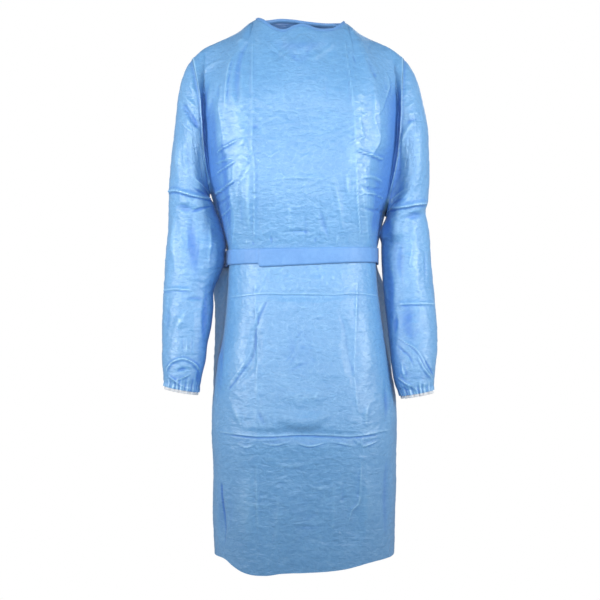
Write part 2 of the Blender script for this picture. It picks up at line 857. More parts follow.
@dataclass
class GownForm:
    """The hollow form of the gown's body, which the panels share.

    Sizes are in millimetres. The origin is between the shoulders, the gown faces -Y, and the
    wearer's right is at -X.

    Attributes:
        front_squareness: How square the front half is, and back_squareness the back; 2 is an oval.
        flare_angle: Over which angle from the seam the half widths grow to their full size.
        yoke_z: Where the sections end and the cloth bends over the shoulders.
        hem_droop_top: From where down the front droops.
        armhole_half_depth: Half the armholes' size from front to back.
        crowding_start: How far below an armhole the lines of points start to make room for it.
        facet_dive: How deep the facet beside an armhole dives at its edge.
        neck_share: The share of the way across at which the shoulder seam meets the neckline.
        neck_approach: How gently the cloth bends up to the neckline.
    """

    front_squareness: float = 2.7
    back_squareness: float = 2.5
    flare_angle: float = 0.55
    yoke_z: float = -160.0
    hem_z: float = -1073.0
    hem_droop_top: float = -955.0
    armhole_half_depth: float = 56.0
    crowding_start: float = 70.0
    facet_dive: float = 24.0
    neck_share: float = 0.30
    neck_approach: float = 66.0
    front_neck_depth: float = 66.0
    back_neck_depth: float = 62.0
    belt_middle: float = -457.0
    armhole_bottoms: dict[Side, float] = field(
        default_factory=lambda: {Side.RIGHT: -325.0, Side.LEFT: -362.0}
    )
    sections: tuple[Section, ...] = (
        Section(-1075, 182, 192, 126, 183, 193, 148),
        Section(-1000, 185, 194, 133, 186, 195, 147),
        Section(-900, 185, 196, 144, 187, 197, 145),
        Section(-820, 188, 197, 152, 190, 199, 142),
        Section(-740, 185, 194, 147, 190, 197, 137),
        Section(-680, 178, 184, 141, 188, 192, 132),
        Section(-620, 165, 172, 133, 186, 187, 126),
        Section(-560, 158, 163, 127, 186, 181, 118),
        Section(-508, 154, 157, 120, 186, 173, 107),
        Section(-482, 153, 156, 116, 172, 163, 100),
        Section(-457, 152, 155, 112, 162, 158, 95),
        Section(-400, 165, 166, 121, 172, 166, 99),
        Section(-335, 188, 183, 131, 191, 183, 105),
        Section(-250, 207, 204, 131, 209, 206, 109),
        Section(-160, 219, 216, 119, 220, 217, 105),
    )
    facets: tuple[Facet, ...] = (
        Facet(-620, 8, 0.0, 8, 0.0),
        Facet(-500, 8, 0.0, 14, 0.1),
        Facet(-474, 8, 0.1, 16, 0.2),
        Facet(-440, 9, 0.25, 17, 0.35),
        Facet(-425, 13, 0.5, 21, 0.6),
        Facet(-396, 22, 0.8, 30, 0.85),
        Facet(-367, 33, 0.95, 36, 0.95),
        Facet(-338, 39, 1.0, 44, 1.0),
        Facet(-297, 47, 1.0, 54, 1.0),
        Facet(-259, 50, 1.0, 57, 1.0),
        Facet(-223, 38, 1.0, 42, 1.0),
        Facet(-184, 37, 1.0, 44, 1.0),
        Facet(-150, 36, 0.95, 50, 0.95),
    )
    front_hem: tuple[Mark, ...] = (
        Mark(-184, 0), Mark(-155, 3), Mark(-142, 12), Mark(-124, 22), Mark(-75, 29), Mark(-40, 24),
        Mark(10, 22), Mark(80, 17), Mark(150, 4), Mark(190, 0),
    )
    front_neckline: tuple[Mark, ...] = (
        Mark(-94, 44), Mark(-78, 34), Mark(-62, 20), Mark(-37, 10), Mark(-14, 18), Mark(1, 21), Mark(16, 17),
        Mark(32, 12), Mark(52, 13), Mark(70, 19), Mark(80, 28), Mark(88, 38),
    )
    back_neckline: tuple[Mark, ...] = (
        Mark(-94, 44), Mark(-75, 48), Mark(-48, 54), Mark(-20, 54), Mark(10, 50), Mark(50, 44), Mark(74, 41),
        Mark(88, 38),
    )
    right_shoulder: tuple[Mark, ...] = (
        Mark(-230, -40), Mark(-206, -19), Mark(-181, -7), Mark(-153, 5), Mark(-130, 17), Mark(-110, 34),
        Mark(-94, 44),
    )
    left_shoulder: tuple[Mark, ...] = (
        Mark(88, 38), Mark(99, 30), Mark(113, 18), Mark(134, 5), Mark(162, -7), Mark(189, -20),
        Mark(212, -38),
    )

    def half_section(self, face: Face, z: float, shares: Numbers) -> Numbers:
        """Points of the section's front or back half.

        Args:
            face: Which half.
            z: The section's height.
            shares: Shares of the way from the wearer's right to left.

        Returns:
            The points at those shares.
        """
        front = face is Face.FRONT
        part, squareness = ("front", self.front_squareness) if front else ("back", self.back_squareness)
        depth = float(smooth_through(self.sections, part + "_depth", z))
        turn = np.linspace(0, math.pi, 361)
        across = -np.sign(np.cos(turn)) * np.abs(np.cos(turn)) ** (2 / squareness)
        out = np.abs(np.sin(turn)) ** (2 / squareness)
        flare = ease(np.minimum(turn, math.pi - turn) / self.flare_angle)
        x = np.empty_like(turn)
        for side, here in (("right", across < 0), ("left", across >= 0)):
            at_seam = float(smooth_through(self.sections, "front_" + side, z))
            own = float(smooth_through(self.sections, part + "_" + side, z))
            wide = own
            for _ in range(4):
                found = np.abs(across) * (at_seam + (wide - at_seam) * flare)
                wide += own - found[here].max()
            x[here] = (np.sign(across) * found)[here]
        deep = depth * out
        if front:
            deep[:181] = self.faceted(-x[:181], deep[:181], z, Side.RIGHT)
            deep[180:] = self.faceted(x[180:][::-1], deep[180:][::-1], z, Side.LEFT)[::-1]
        y = face.value * (deep + SEAM_GAP / 2)
        points = np.stack([x, y, np.full_like(turn, z)], axis=1)
        lengths = lengths_to(points)
        from_edge = np.minimum(shares, 1 - shares)
        lead = np.clip(1 - from_edge / self.neck_share, 0, 1) ** 2
        reach = np.zeros_like(shares)
        for side, here in ((Side.RIGHT, shares < 0.5), (Side.LEFT, shares >= 0.5)):
            bottom = self.armhole_bottoms[side]
            reach[here] = (from_edge * lengths[-1] + self.crowding(z, bottom) * lead)[here]
            from_seam = lengths if side is Side.RIGHT else (lengths[-1] - lengths)[::-1]
            edge = np.interp(self.armhole_depth(z, bottom), depth * out[:181], from_seam[:181])
            reach[here & (from_edge == 0)] = edge
        return at_lengths(points, np.where(shares < 0.5, reach, lengths[-1] - reach))

    def faceted(self, wide: Numbers, deep: Numbers, z: float, side: Side) -> Numbers:
        """Cuts the section's corner next to the armhole.

        Args:
            wide: Half widths of one side of the front's section, from its seam on.
            deep: Its depths.
            z: The section's height.
    
        Returns:
            The depths with the facet cut.
        """
        name, bottom = side.label, self.armhole_bottoms[side]
        reach = float(smooth_through(self.facets, name + "_reach", z))
        share = float(smooth_through(self.facets, name + "_share", z))
        start = self.armhole_depth(z, bottom)
        edge = np.interp(start, deep, wide)
        end = np.interp(edge - reach, wide[::-1], deep[::-1])
        t = (edge - wide) / reach
        dive = min(self.facet_dive, start * 0.45)
        cut = start + (end - start) * t - dive * (1 - t) * ease(t / 0.12)
        on_facet = (deep > start) & (t < 1)
        return np.where(on_facet, deep + (np.minimum(cut, deep) - deep) * share, deep)

    def armhole_depth(self, z: float, bottom: float) -> float:
        """How far the armhole's edge is from the side seam, front or back, up to the yoke."""
        rise = min(1.0, (self.yoke_z - z) / (self.yoke_z - bottom))
        return self.armhole_half_depth * math.sqrt(1 - rise * rise)

    def crowding(self, z: float, bottom: float) -> float:
        """How far the lines of points next to the armhole's edge move in to make room for it.

        Args:
            z: The section's height.
            bottom: The armhole's lowest point.

        Returns:
            The distance in millimetres.
        """
        span = self.yoke_z - bottom + self.crowding_start
        t = min(1.0, max(0.0, (z - bottom + self.crowding_start) / span))
        return self.armhole_half_depth * (1 - (1 - t) ** 2)

    def top_edge(self, face: Face, shares: Numbers) -> Numbers:
        """Points of a panel's top edge: shoulder seam, neckline and the other shoulder seam.

        Args:
            face: Which half of the gown.
            shares: Shares of the way across.

        Returns:
            The points at those shares.
        """
        neckline = self.front_neckline if face is Face.FRONT else self.back_neckline
        depth = self.front_neck_depth if face is Face.FRONT else self.back_neck_depth
        low, high = self.right_shoulder[0].x, self.right_shoulder[-1].x
        right_x = low + (high - low) * shares / self.neck_share
        low, high = self.left_shoulder[0].x, self.left_shoulder[-1].x
        left_x = low + (high - low) * (shares - 1 + self.neck_share) / self.neck_share
        place = np.clip((shares - self.neck_share) / (1 - 2 * self.neck_share), 0, 1)
        neck_x = neckline[0].x + (neckline[-1].x - neckline[0].x) * (1 - np.cos(math.pi * place)) / 2
        on_right, on_left = shares <= self.neck_share, shares >= 1 - self.neck_share
        x = np.where(on_right, right_x, np.where(on_left, left_x, neck_x))
        z = np.where(
            on_right,
            smooth_through(self.right_shoulder, "z", x),
            np.where(on_left, smooth_through(self.left_shoulder, "z", x), smooth_through(neckline, "z", x)),
        )
        out = np.where(on_right | on_left, 0.0, depth * np.sin(math.pi * place) ** 0.9)
        return np.stack([x, face.value * (out + SEAM_GAP / 2), z], axis=1)

    def over_shoulder(self, face: Face, rises: Numbers, shares: Numbers) -> Numbers:
        """Rows of points above the yoke.

        Args:
            face: Which half of the gown.
            rises: Shares of the way up to the top edge.
            shares: Shares of the way across.

        Returns:
            The rows of points.
        """
        low = self.half_section(face, self.yoke_z, shares)
        high = self.top_edge(face, shares)
        depth = self.front_neck_depth if face is Face.FRONT else self.back_neck_depth
        from_armhole = np.minimum(shares, 1 - shares) / self.neck_share
        in_neck = ease((from_armhole - 1) / 0.35)
        round_neck = ease((from_armhole - 0.8) / 0.4)[:, None]
        half_width = (self.front_neckline[-1].x - self.front_neckline[0].x) / 2
        middle = (self.front_neckline[-1].x + self.front_neckline[0].x) / 2
        away = np.stack([(high[:, 0] - middle) / half_width**2, high[:, 1] / depth**2], axis=1)
        away = unit(away)
        over = np.stack([np.zeros_like(shares), -face.value * np.abs(low[:, 1]) * 1.55], axis=1)
        height = high[:, 2] - low[:, 2]
        leave = np.stack([np.zeros_like(shares), np.zeros_like(shares), height * 1.05], axis=1)
        inwards = over * (1 - round_neck) - away * self.neck_approach * round_neck
        arrive = np.column_stack([inwards, height * (0.25 * round_neck[:, 0] + 0.5 * in_neck)])
        t = np.asarray(rises)[:, None, None]
        return hermite(t, low, leave, high, arrive)

    def panel(self, face: Face, heights: Numbers, rises: Numbers, shares: Numbers) -> ClothGrid:
        """A panel before its folds, in rows from the hem to the top edge.

        Args:
            face: Which half of the gown.
            heights: The heights of the rows below the yoke.
            rises: Shares of the way from the yoke up to the top edge.
            shares: Shares of the way across.

        Returns:
            The smooth surface.
        """
        rows = np.array([self.half_section(face, z, shares) for z in heights])
        grid = np.concatenate([rows, self.over_shoulder(face, rises, shares)])
        return ClothGrid(grid, 1 if face is Face.FRONT else -1)

    def belt_hold(self, z: Numbers) -> Numbers:
        """0 where the belt presses the cloth flat, 1 away from it."""
        return ease((np.abs(z - self.belt_middle) - 17) / 30)


def lifts(creases: tuple[Crease, ...] | list[Crease], x: Numbers, z: Numbers) -> Numbers:
    """How far all these folds together lift the cloth.

    Args:
        creases: The folds.
        x: The places across the view.
        z: Their heights.

    Returns:
        The lifts in millimetres.
    """
    total = np.zeros(x.shape)
    for crease in creases:
        total += crease.lift_at(x, z)
    return total


def patches(wrinkles: tuple[Wrinkles, ...]) -> list[Crease]:
    """The creases of several patches together."""
    return [crease for patch in wrinkles for crease in patch.creases()]


def crumple(grid: ClothGrid, seed: int, strength: float = 1.0) -> Numbers:
    """How far handled cloth lifts all over: slow swells with small pressed ridges between them.

    Args:
        grid: The surface.
        seed: The seed of its random numbers.
        strength: The height's factor.

    Returns:
        The lift at each of the surface's points.
    """
    flat = grid.flat()[:, : grid.points.shape[1]] / MM
    across, along = flat[:, :, 0] + 900, flat[:, :, 1] + 40
    swell = cloth_noise(across, along * 0.8, 74, seed) * 1.2 + cloth_noise(across, along, 38, seed + 1) * 0.4
    ridge = (1 - np.abs(cloth_noise(across, along * 1.25, 31, seed + 2))).clip(0, 1) ** 5
    small = (1 - np.abs(cloth_noise(across + 13, along * 1.15, 16, seed + 3))).clip(0, 1) ** 5
    total = swell + ridge * 0.6 + small * 0.38
    if grid.closed:
        turn = np.linspace(0, 1, across.shape[1], endpoint=False)
        total = total * ease(np.minimum(turn, 1 - turn) / 0.06)[None, :]
    return total * strength


def hollows(grid: ClothGrid, lift: Numbers, strength: float = 1.0) -> Numbers:
    """How far each point lies in a small hollow, above 0, or on a small ridge, below 0.

    Args:
        grid: The surface before it is lifted.
        lift: The lift at each of its points.
        strength: A factor on the answer.

    Returns:
        From -0.7 on a pressed ridge to 0.5 in a pressed hollow.
    """
    across = np.maximum(np.linalg.norm(np.gradient(grid.points, axis=1), axis=2), 0.8)
    along = np.maximum(np.linalg.norm(np.gradient(grid.points, axis=0), axis=2), 0.8)
    bend = np.gradient(np.gradient(lift, axis=1) / across, axis=1) / across
    bend += np.gradient(np.gradient(lift, axis=0) / along, axis=0) / along
    return np.clip(bend * strength, -0.7, 0.5)


def fold_depths(grid: ClothGrid, lift: Numbers) -> Numbers:
    """How deep in a fold each point lies; below 0 where it stands up.

    Args:
        grid: The surface before it is lifted.
        lift: The lift at each of its points.

    Returns:
        The depths, about -0.2 to 1.
    """
    across = np.linalg.norm(np.gradient(grid.points, axis=1), axis=2)
    along = np.linalg.norm(np.gradient(grid.points, axis=0), axis=2)
    slope_across = np.gradient(lift, axis=1) / np.maximum(across, 0.5)
    steep = np.hypot(slope_across, np.gradient(lift, axis=0) / np.maximum(along, 0.5))
    return ease((steep - 0.13) / 0.75) * 0.7 + np.clip(-lift * 0.07, -0.22, 0.26)


def facing(grid: ClothGrid, face: Face) -> Numbers:
    """1 where the surface faces the front or the back view, down to 0 where it turns away."""
    return ease(grid.normals()[:, :, 1] * face.value / 0.45)


SHADED_PLACES = (
    soft(16, 0.42, (-81, -10), (-44, -22), (-4, -30), (36, -22), (73, -10), taper=0.4),
    soft(14, 0.34, (-36, -26), (-4, -58), (28, -26), taper=0.4),
    soft(56, 0.24, (2, -554), (2, -646), (4, -754)),
    soft(16, 0.12, (-36, -770), (0, -794), (40, -770)),
    soft(12, 0.2, (-156, -826), (-4, -826), (172, -826), taper=0.1),
    soft(16, 0.3, (172, -850), (170, -1046), taper=0.2),
    soft(14, 0.4, (170, -710), (172, -802)),
    soft(13, 0.45, (-168, -556), (-170, -646), (-166, -766), taper=0.3),
    soft(9, 0.35, (-168, -886), (-166, -1050), taper=0.3),
    soft(9, 0.7, (-163, -183), (-155, -304), (-143, -433), taper=0.3),
    soft(9, 0.3, (-181, -127), (-179, -193), (-173, -280), taper=0.4),
    soft(10, 0.5, (157, -284), (153, -344), (143, -425), taper=0.3),
)
RIGHT_SLEEVE_SHADES = (
    soft(19, 0.62, (-234, -339), (-225, -422), (-207, -546)),
    soft(9, -0.95, (-205, -194), (-207, -273), (-203, -331), taper=0.4),
    soft(13, 0.25, (-277, -699), (-244, -707), (-213, -712), taper=0.2),
    soft(8, 0.3, (-199, -546), (-201, -598), (-205, -650), taper=0.4),
    soft(8, 0.3, (-228, -149), (-217, -186)),
    soft(10, -0.15, (-261, -351), (-265, -422), (-261, -496)),
)
LEFT_SLEEVE_SHADES = (
    soft(26, 0.75, (215, -538), (220, -592), (228, -650), taper=0.4),
    soft(14, 0.32, (203, -695), (234, -703), (263, -703), taper=0.2),
    soft(9, 0.3, (197, -252), (203, -298), (197, -343), taper=0.4),
    soft(10, 0.4, (184, -500), (184, -550), (191, -621), taper=0.4),
    soft(13, 0.35, (197, -393), (199, -442), (197, -525), taper=0.4),
)
PACKAGE_CREASES = (
    sharp(4, 1.7, (-101, 4), (-102, -62), (-99, -163), (-100, -244), (-95, -284), (-97, -437), taper=0.08),
    sharp(4, 1.5, (-97, -481), (-94, -546), (-90, -646), (-92, -806), taper=0.3),
    soft(5, 0.9, (-92, -838), (-90, -926), (-86, -1036), taper=0.3),
    sharp(4, 1.8, (87, -6), (93, -62), (97, -92), (103, -163), (107, -244), taper=0.08),
    sharp(4, 1.6, (107, -244), (111, -344), (117, -405), (115, -435), taper=0.15),
    sharp(4, 1.5, (113, -481), (106, -706), (120, -806), taper=0.2),
    sharp(4, 1.7, (118, -838), (116, -946), (100, -970), (86, -1016), taper=0.3),
    lap(
        7, 0.9,
        (-153, -541), (-125, -538), (-101, -535), (-69, -533), (-32, -534), (16, -534), (65, -535),
        (109, -533), (173, -540),
        taper=0.05,
    ),
    sharp(5, 1.0, (-14, -560), (6, -561), (26, -560)),
    lap(
        7, 0.9,
        (-172, -814), (-132, -816), (-80, -819), (-4, -815), (56, -816), (96, -819), (132, -816),
        (156, -812), (182, -810),
        taper=0.04,
    ),
    sharp(4, -0.7, (-164, -818), (-80, -822), (-4, -818), (96, -822), (176, -816), taper=0.1),
    lap(7, 1.7, (-140, -830), (-112, -842), (-86, -832)),
    lap(7, 1.6, (-88, -832), (-52, -836), (-20, -828)),
    lap(7, 1.9, (-22, -826), (14, -838), (56, -828)),
    lap(7, 1.5, (54, -828), (90, -836), (110, -842)),
    lap(7, 1.6, (104, -844), (132, -838), (164, -826)),
    sharp(5, 1.4, (100, -818), (112, -832), (102, -844)),
    sharp(5, 1.3, (124, -816), (118, -832), (128, -846)),
    soft(6, -0.9, (-44, -409), (-4, -407), (36, -410)),
    soft(7, 0.9, (-81, -306), (-4, -300), (87, -308)),
    sharp(6, 0.8, (-93, -229), (-60, -225), (-4, -229)),
)
CHEST_CREASES = (
    lap(9, 1.2, (-81, -8), (-46, -42), (-4, -74), taper=0.4),
    soft(9, 1.2, (77, -8), (40, -42), (0, -74), taper=0.4),
    sharp(5, -0.8, (-4, -62), (-2, -86), (-4, -115)),
    soft(33, 2.4, (-123, -66), (-125, -163), (-119, -264), (-113, -354), (-109, -431), taper=0.3),
    soft(30, 2.2, (109, -74), (113, -163), (107, -244), (111, -344), (113, -431), taper=0.3),
    soft(10, -2.2, (-105, -6), (-125, -42), (-133, -102), (-129, -163), taper=0.25),
    lap(10, 2.6, (-155, -167), (-153, -102), (-143, -38), taper=0.25),
    soft(10, 2.4, (-187, -82), (-189, -127), (-194, -171)),
    soft(7, -1.6, (-171, -90), (-173, -133), (-167, -167)),
    soft(8, 1.4, (-214, -78), (-194, -62), (-161, -46)),
    soft(8, 1.4, (-141, -18), (-125, -10), (-109, -6)),
    sharp(5, 0.9, (-69, -102), (-60, -155), (-52, -203)),
    soft(7, 0.8, (-40, -82), (-36, -133), (-42, -179)),
    soft(8, -0.9, (40, -74), (50, -127), (46, -179)),
    sharp(4, -1.3, (101, -32), (113, -72)),
    sharp(5, 0.9, (103, -72), (101, -113), (111, -183)),
    soft(9, -1.8, (129, -38), (145, -74), (155, -111)),
    soft(8, 1.8, (169, -62), (177, -98), (173, -139)),
    soft(7, 1.2, (141, -102), (149, -143), (145, -187)),
    lap(6, 3.4, (105, -244), (135, -252), (171, -260), taper=0.15),
    sharp(4, 1.7, (89, -234), (111, -223), (133, -215), taper=0.3),
    sharp(4, 1.5, (117, -175), (119, -203), (131, -227), taper=0.3),
    soft(6, 1.6, (111, -300), (141, -296), (171, -304), taper=0.3),
    sharp(4, -2.0, (113, -316), (145, -320), (173, -316), taper=0.2),
    lap(5, 2.4, (109, -334), (141, -330), (173, -338), taper=0.2),
    sharp(4, -1.8, (117, -356), (145, -363), (169, -359), taper=0.3),
    lap(5, 3.2, (-177, -246), (-155, -236), (-127, -223), taper=0.2),
    sharp(4, 2.2, (-181, -266), (-157, -262), (-133, -258), taper=0.3),
    lap(5, 3.2, (-179, -288), (-155, -278), (-131, -264), taper=0.2),
    lap(6, 4.0, (-183, -326), (-161, -320), (-135, -304), taper=0.12),
    sharp(4, -2.2, (-179, -346), (-163, -344), (-143, -334), taper=0.2),
    lap(5, 2.4, (-171, -373), (-155, -367), (-139, -356), taper=0.3),
    sharp(4, 1.5, (-119, -246), (-107, -252), (-97, -258)),
    sharp(4, 1.5, (-99, -258), (-89, -264), (-77, -274)),
    sharp(4, -1.3, (-99, -258), (-105, -270), (-115, -282)),
    sharp(4, -1.2, (-99, -258), (-87, -250), (-73, -246)),
    sharp(4, 0.8, (105, -264), (103, -304), (101, -344)),
    sharp(5, 0.9, (117, -274), (123, -340), (133, -405)),
    soft(8, 1.9, (87, -280), (91, -314), (93, -348)),
    soft(9, -1.7, (32, -344), (44, -393), (61, -437)),
    soft(9, 1.5, (56, -264), (73, -344), (87, -429)),
    sharp(4, -0.5, (-89, -264), (-87, -344), (-87, -429), taper=0.25),
    soft(12, 1.9, (-105, -274), (-107, -354), (-105, -431)),
    soft(8, -1.4, (-125, -284), (-125, -354), (-119, -425)),
    sharp(4, 1.3, (-4, -320), (4, -315), (14, -318)),
    soft(9, 1.0, (-34, -334), (-24, -375), (-28, -425)),
    soft(7, -1.0, (2, -354), (8, -395), (2, -433)),
    sharp(5, -1.5, (-64, -409), (-60, -439)),
    sharp(5, -1.4, (28, -413), (26, -437)),
    sharp(5, 1.4, (73, -409), (69, -437)),
    sharp(4, 1.2, (-91, -260), (-77, -250), (-64, -258), (-48, -248), (-30, -252), taper=0.3),
    sharp(4, 1.2, (-119, -256), (-107, -266), (-97, -272), taper=0.3),
    sharp(4, 1.1, (-113, -236), (-105, -248), (-101, -264), taper=0.4),
    sharp(4, 0.9, (-81, -276), (-66, -280), (-52, -276), taper=0.4),
    sharp(4, 0.9, (-125, -296), (-111, -288), (-101, -280), taper=0.4),
    sharp(4, 0.9, (-81, -143), (-69, -155), (-52, -159), taper=0.4),
    sharp(4, 0.8, (-81, -167), (-64, -179), (-44, -175), taper=0.4),
    sharp(4, 1.0, (-4, -324), (8, -332), (16, -338), taper=0.4),
    sharp(5, -1.2, (-139, -312), (-125, -300), (-111, -280), taper=0.3),
    sharp(4, -0.8, (-44, -407), (-12, -409), (20, -408), taper=0.2),
    sharp(5, -1.6, (-101, -425), (-97, -437)),
    sharp(5, 1.3, (-113, -417), (-113, -439)),
)
SKIRT_CREASES = (
    soft(6, 0.7, (-113, -475), (-111, -512)),
    sharp(5, -0.7, (-69, -479), (-73, -518)),
    soft(6, 0.6, (-26, -479), (-24, -510)),
    sharp(5, -0.8, (32, -479), (38, -514)),
    soft(6, 0.7, (77, -473), (83, -516)),
    soft(6, -0.8, (129, -471), (133, -514)),
    sharp(
        3.6, -1.5,
        (-69, -544), (-90, -594), (-96, -640), (-104, -666), (-128, -702), (-152, -732),
        taper=0.06,
    ),
    sharp(
        4, 0.8,
        (-75, -542), (-96, -592), (-102, -638), (-110, -662), (-132, -696), (-156, -726),
        taper=0.1,
    ),
    sharp(5, -1.0, (68, -554), (86, -602), (96, -666), (116, -732), taper=0.2),
    soft(20, -0.7, (-72, -766), (-44, -798), (0, -808), (40, -800), (76, -750)),
    soft(24, 1.6, (-68, -734), (-4, -742), (80, -732)),
    soft(28, 1.5, (-124, -554), (-130, -636), (-124, -726)),
    soft(27, 1.5, (128, -554), (134, -636), (128, -736)),
    soft(16, -1.0, (-28, -582), (-20, -646), (-24, -714)),
    soft(14, 0.8, (32, -590), (28, -650), (40, -706)),
    soft(8, -1.6, (-160, -566), (-166, -636), (-162, -726)),
    soft(12, 1.8, (-148, -750), (-128, -782), (-124, -808)),
    soft(9, -1.6, (168, -698), (172, -756), (168, -810)),
    soft(10, 1.5, (140, -742), (128, -776), (132, -808)),
    soft(8, -1.5, (-92, -754), (-80, -786), (-68, -808)),
    soft(34, 2.4, (-106, -850), (-110, -946), (-112, -1058)),
    soft(40, -1.2, (-4, -850), (4, -946), (-2, -1078)),
    soft(26, 1.8, (124, -850), (132, -956), (128, -1050)),
    soft(9, 0.9, (-52, -878), (-48, -966), (-60, -1078)),
    soft(10, 1.0, (56, -862), (64, -946), (56, -1058)),
    soft(9, -1.2, (172, -850), (168, -946), (170, -1050)),
    sharp(3.6, -2.2, (-163, -910), (-162, -976), (-158, -1052), taper=0.12),
    soft(9, -1.2, (-148, -870), (-146, -946), (-144, -1058)),
    soft(6, -1.0, (86, -886), (82, -946), (92, -986)),
    soft(7, 0.9, (-80, -872), (-24, -878), (32, -870), taper=0.45),
    soft(6, 0.7, (-4, -918), (56, -924), (112, -918), taper=0.45),
    soft(6, 0.7, (-128, -952), (-80, -958), (-32, -952), taper=0.45),
    soft(6, -0.7, (-44, -990), (16, -996), (76, -988), taper=0.45),
)
RIGHT_SLEEVE_CREASES = (
    soft(9, 2.2, (-225, -70), (-228, -99), (-225, -128)),
    sharp(6, 2.0, (-238, -97), (-225, -111), (-211, -128)),
    sharp(7, 2.2, (-250, -115), (-232, -136), (-209, -159)),
    soft(10, -3.0, (-252, -132), (-232, -165), (-207, -198), taper=0.25),
    soft(13, 2.2, (-254, -173), (-259, -252), (-254, -318)),
    soft(8, -1.9, (-234, -194), (-234, -256), (-223, -314)),
    soft(7, 1.2, (-201, -207), (-199, -273), (-192, -322)),
    lap(6, 1.6, (-257, -157), (-244, -186), (-211, -211)),
    sharp(5, 1.0, (-261, -236), (-240, -248), (-213, -273)),
    lap(12, 5.2, (-286, -322), (-261, -320), (-232, -329), (-207, -335), (-186, -341), taper=0.12),
    soft(12, -3.0, (-273, -349), (-244, -356), (-211, -364)),
    sharp(7, 2.4, (-188, -331), (-203, -314), (-228, -289)),
    sharp(6, -2.0, (-188, -337), (-205, -325), (-232, -310)),
    sharp(7, -2.4, (-188, -351), (-205, -356), (-236, -368)),
    soft(22, -2.4, (-225, -347), (-230, -432), (-219, -529)),
    lap(6, 0.7, (-236, -364), (-240, -414), (-232, -467)),
    sharp(5, -0.8, (-215, -380), (-213, -434), (-221, -488)),
    soft(13, 2.0, (-263, -351), (-267, -422), (-259, -496)),
    soft(7, 2.0, (-194, -368), (-192, -432), (-194, -496)),
    sharp(5, 0.7, (-240, -385), (-236, -422), (-244, -467)),
    lap(8, 2.6, (-294, -527), (-257, -525), (-223, -527), taper=0.15),
    soft(6, -1.5, (-252, -546), (-219, -542), (-190, -546)),
    soft(16, 3.0, (-267, -616), (-248, -587), (-232, -558)),
    soft(10, -1.8, (-197, -509), (-199, -571), (-203, -641)),
    soft(8, -1.8, (-273, -546), (-277, -583), (-281, -625)),
    sharp(4, -0.8, (-244, -600), (-244, -639), (-240, -674)),
    sharp(4, -0.8, (-225, -596), (-225, -637), (-228, -672)),
    sharp(4, 0.8, (-234, -612), (-236, -641), (-234, -668)),
    sharp(
        6, 2.8,
        (-279, -697), (-273, -683), (-263, -672), (-242, -666), (-221, -676), (-209, -695),
        taper=0.15,
    ),
    sharp(6, 2.4, (-279, -695), (-261, -710), (-242, -722), (-215, -730), taper=0.25),
    sharp(5, 2.0, (-269, -714), (-244, -705), (-219, -693)),
    soft(6, -2.0, (-261, -695), (-244, -687), (-228, -689)),
    soft(6, -2.0, (-213, -683), (-213, -707), (-215, -728)),
)
LEFT_SLEEVE_CREASES = (
    sharp(6, 2.2, (201, -130), (217, -118), (236, -99)),
    sharp(6, 2.0, (205, -157), (224, -144), (246, -128)),
    lap(6, 2.2, (203, -169), (226, -163), (251, -157)),
    sharp(6, -1.8, (203, -180), (228, -175), (253, -167)),
    soft(11, 3.0, (191, -248), (209, -211), (230, -173), taper=0.25),
    soft(12, -2.2, (207, -215), (199, -269), (189, -327)),
    soft(15, 1.8, (240, -178), (242, -248), (236, -327)),
    soft(6, 1.4, (220, -236), (222, -273), (215, -310)),
    lap(13, 5.4, (170, -374), (189, -364), (207, -356), (236, -349), (263, -345), taper=0.12),
    soft(12, -3.0, (203, -378), (228, -372), (261, -368)),
    sharp(7, 2.2, (174, -343), (195, -331), (220, -312)),
    sharp(6, -2.0, (174, -356), (197, -345), (228, -331)),
    soft(13, -2.2, (189, -364), (186, -397), (184, -442)),
    soft(22, 2.0, (232, -360), (230, -459), (234, -558)),
    soft(10, -1.6, (209, -401), (203, -467), (209, -538)),
    soft(11, -2.0, (178, -455), (182, -509), (186, -571)),
    sharp(5, 0.6, (220, -393), (226, -442), (215, -496)),
    soft(6, -1.4, (253, -422), (255, -467), (253, -525)),
    lap(8, 2.6, (195, -556), (236, -554), (280, -556), taper=0.12),
    soft(18, 2.0, (228, -569), (228, -596), (226, -625)),
    soft(7, -1.8, (195, -571), (193, -596), (191, -621)),
    lap(8, 2.3, (184, -614), (211, -633), (234, -650), (265, -701)),
    sharp(6, -1.8, (186, -629), (207, -650), (220, -662), (232, -695)),
    sharp(6, 2.2, (234, -654), (246, -683), (269, -712), taper=0.25),
    sharp(5, -2.2, (249, -666), (259, -683), (271, -703), taper=0.25),
    soft(6, 1.8, (203, -670), (207, -691), (211, -712)),
    sharp(6, 2.6, (191, -699), (209, -714), (224, -722), (242, -736), taper=0.2),
    sharp(5, -1.6, (199, -720), (211, -728), (224, -734)),
)
VALLEY_EDGES = (
    lap(11, 1.2, (-177, -120), (-170, -159), (-163, -199), (-159, -238), (-157, -262), taper=0.12),
    lap(9, 1.0, (-139, -270), (-141, -308), taper=0.25),
    lap(11, 1.0, (-148, -322), (-143, -348), (-137, -377), (-139, -405), (-145, -441), taper=0.12),
    lap(11, 0.9, (137, -435), (133, -397), (131, -338), (129, -296), (131, -266), taper=0.12),
    lap(11, 1.0, (131, -266), (159, -221), (147, -175), (161, -161), (183, -94), taper=0.12),
)
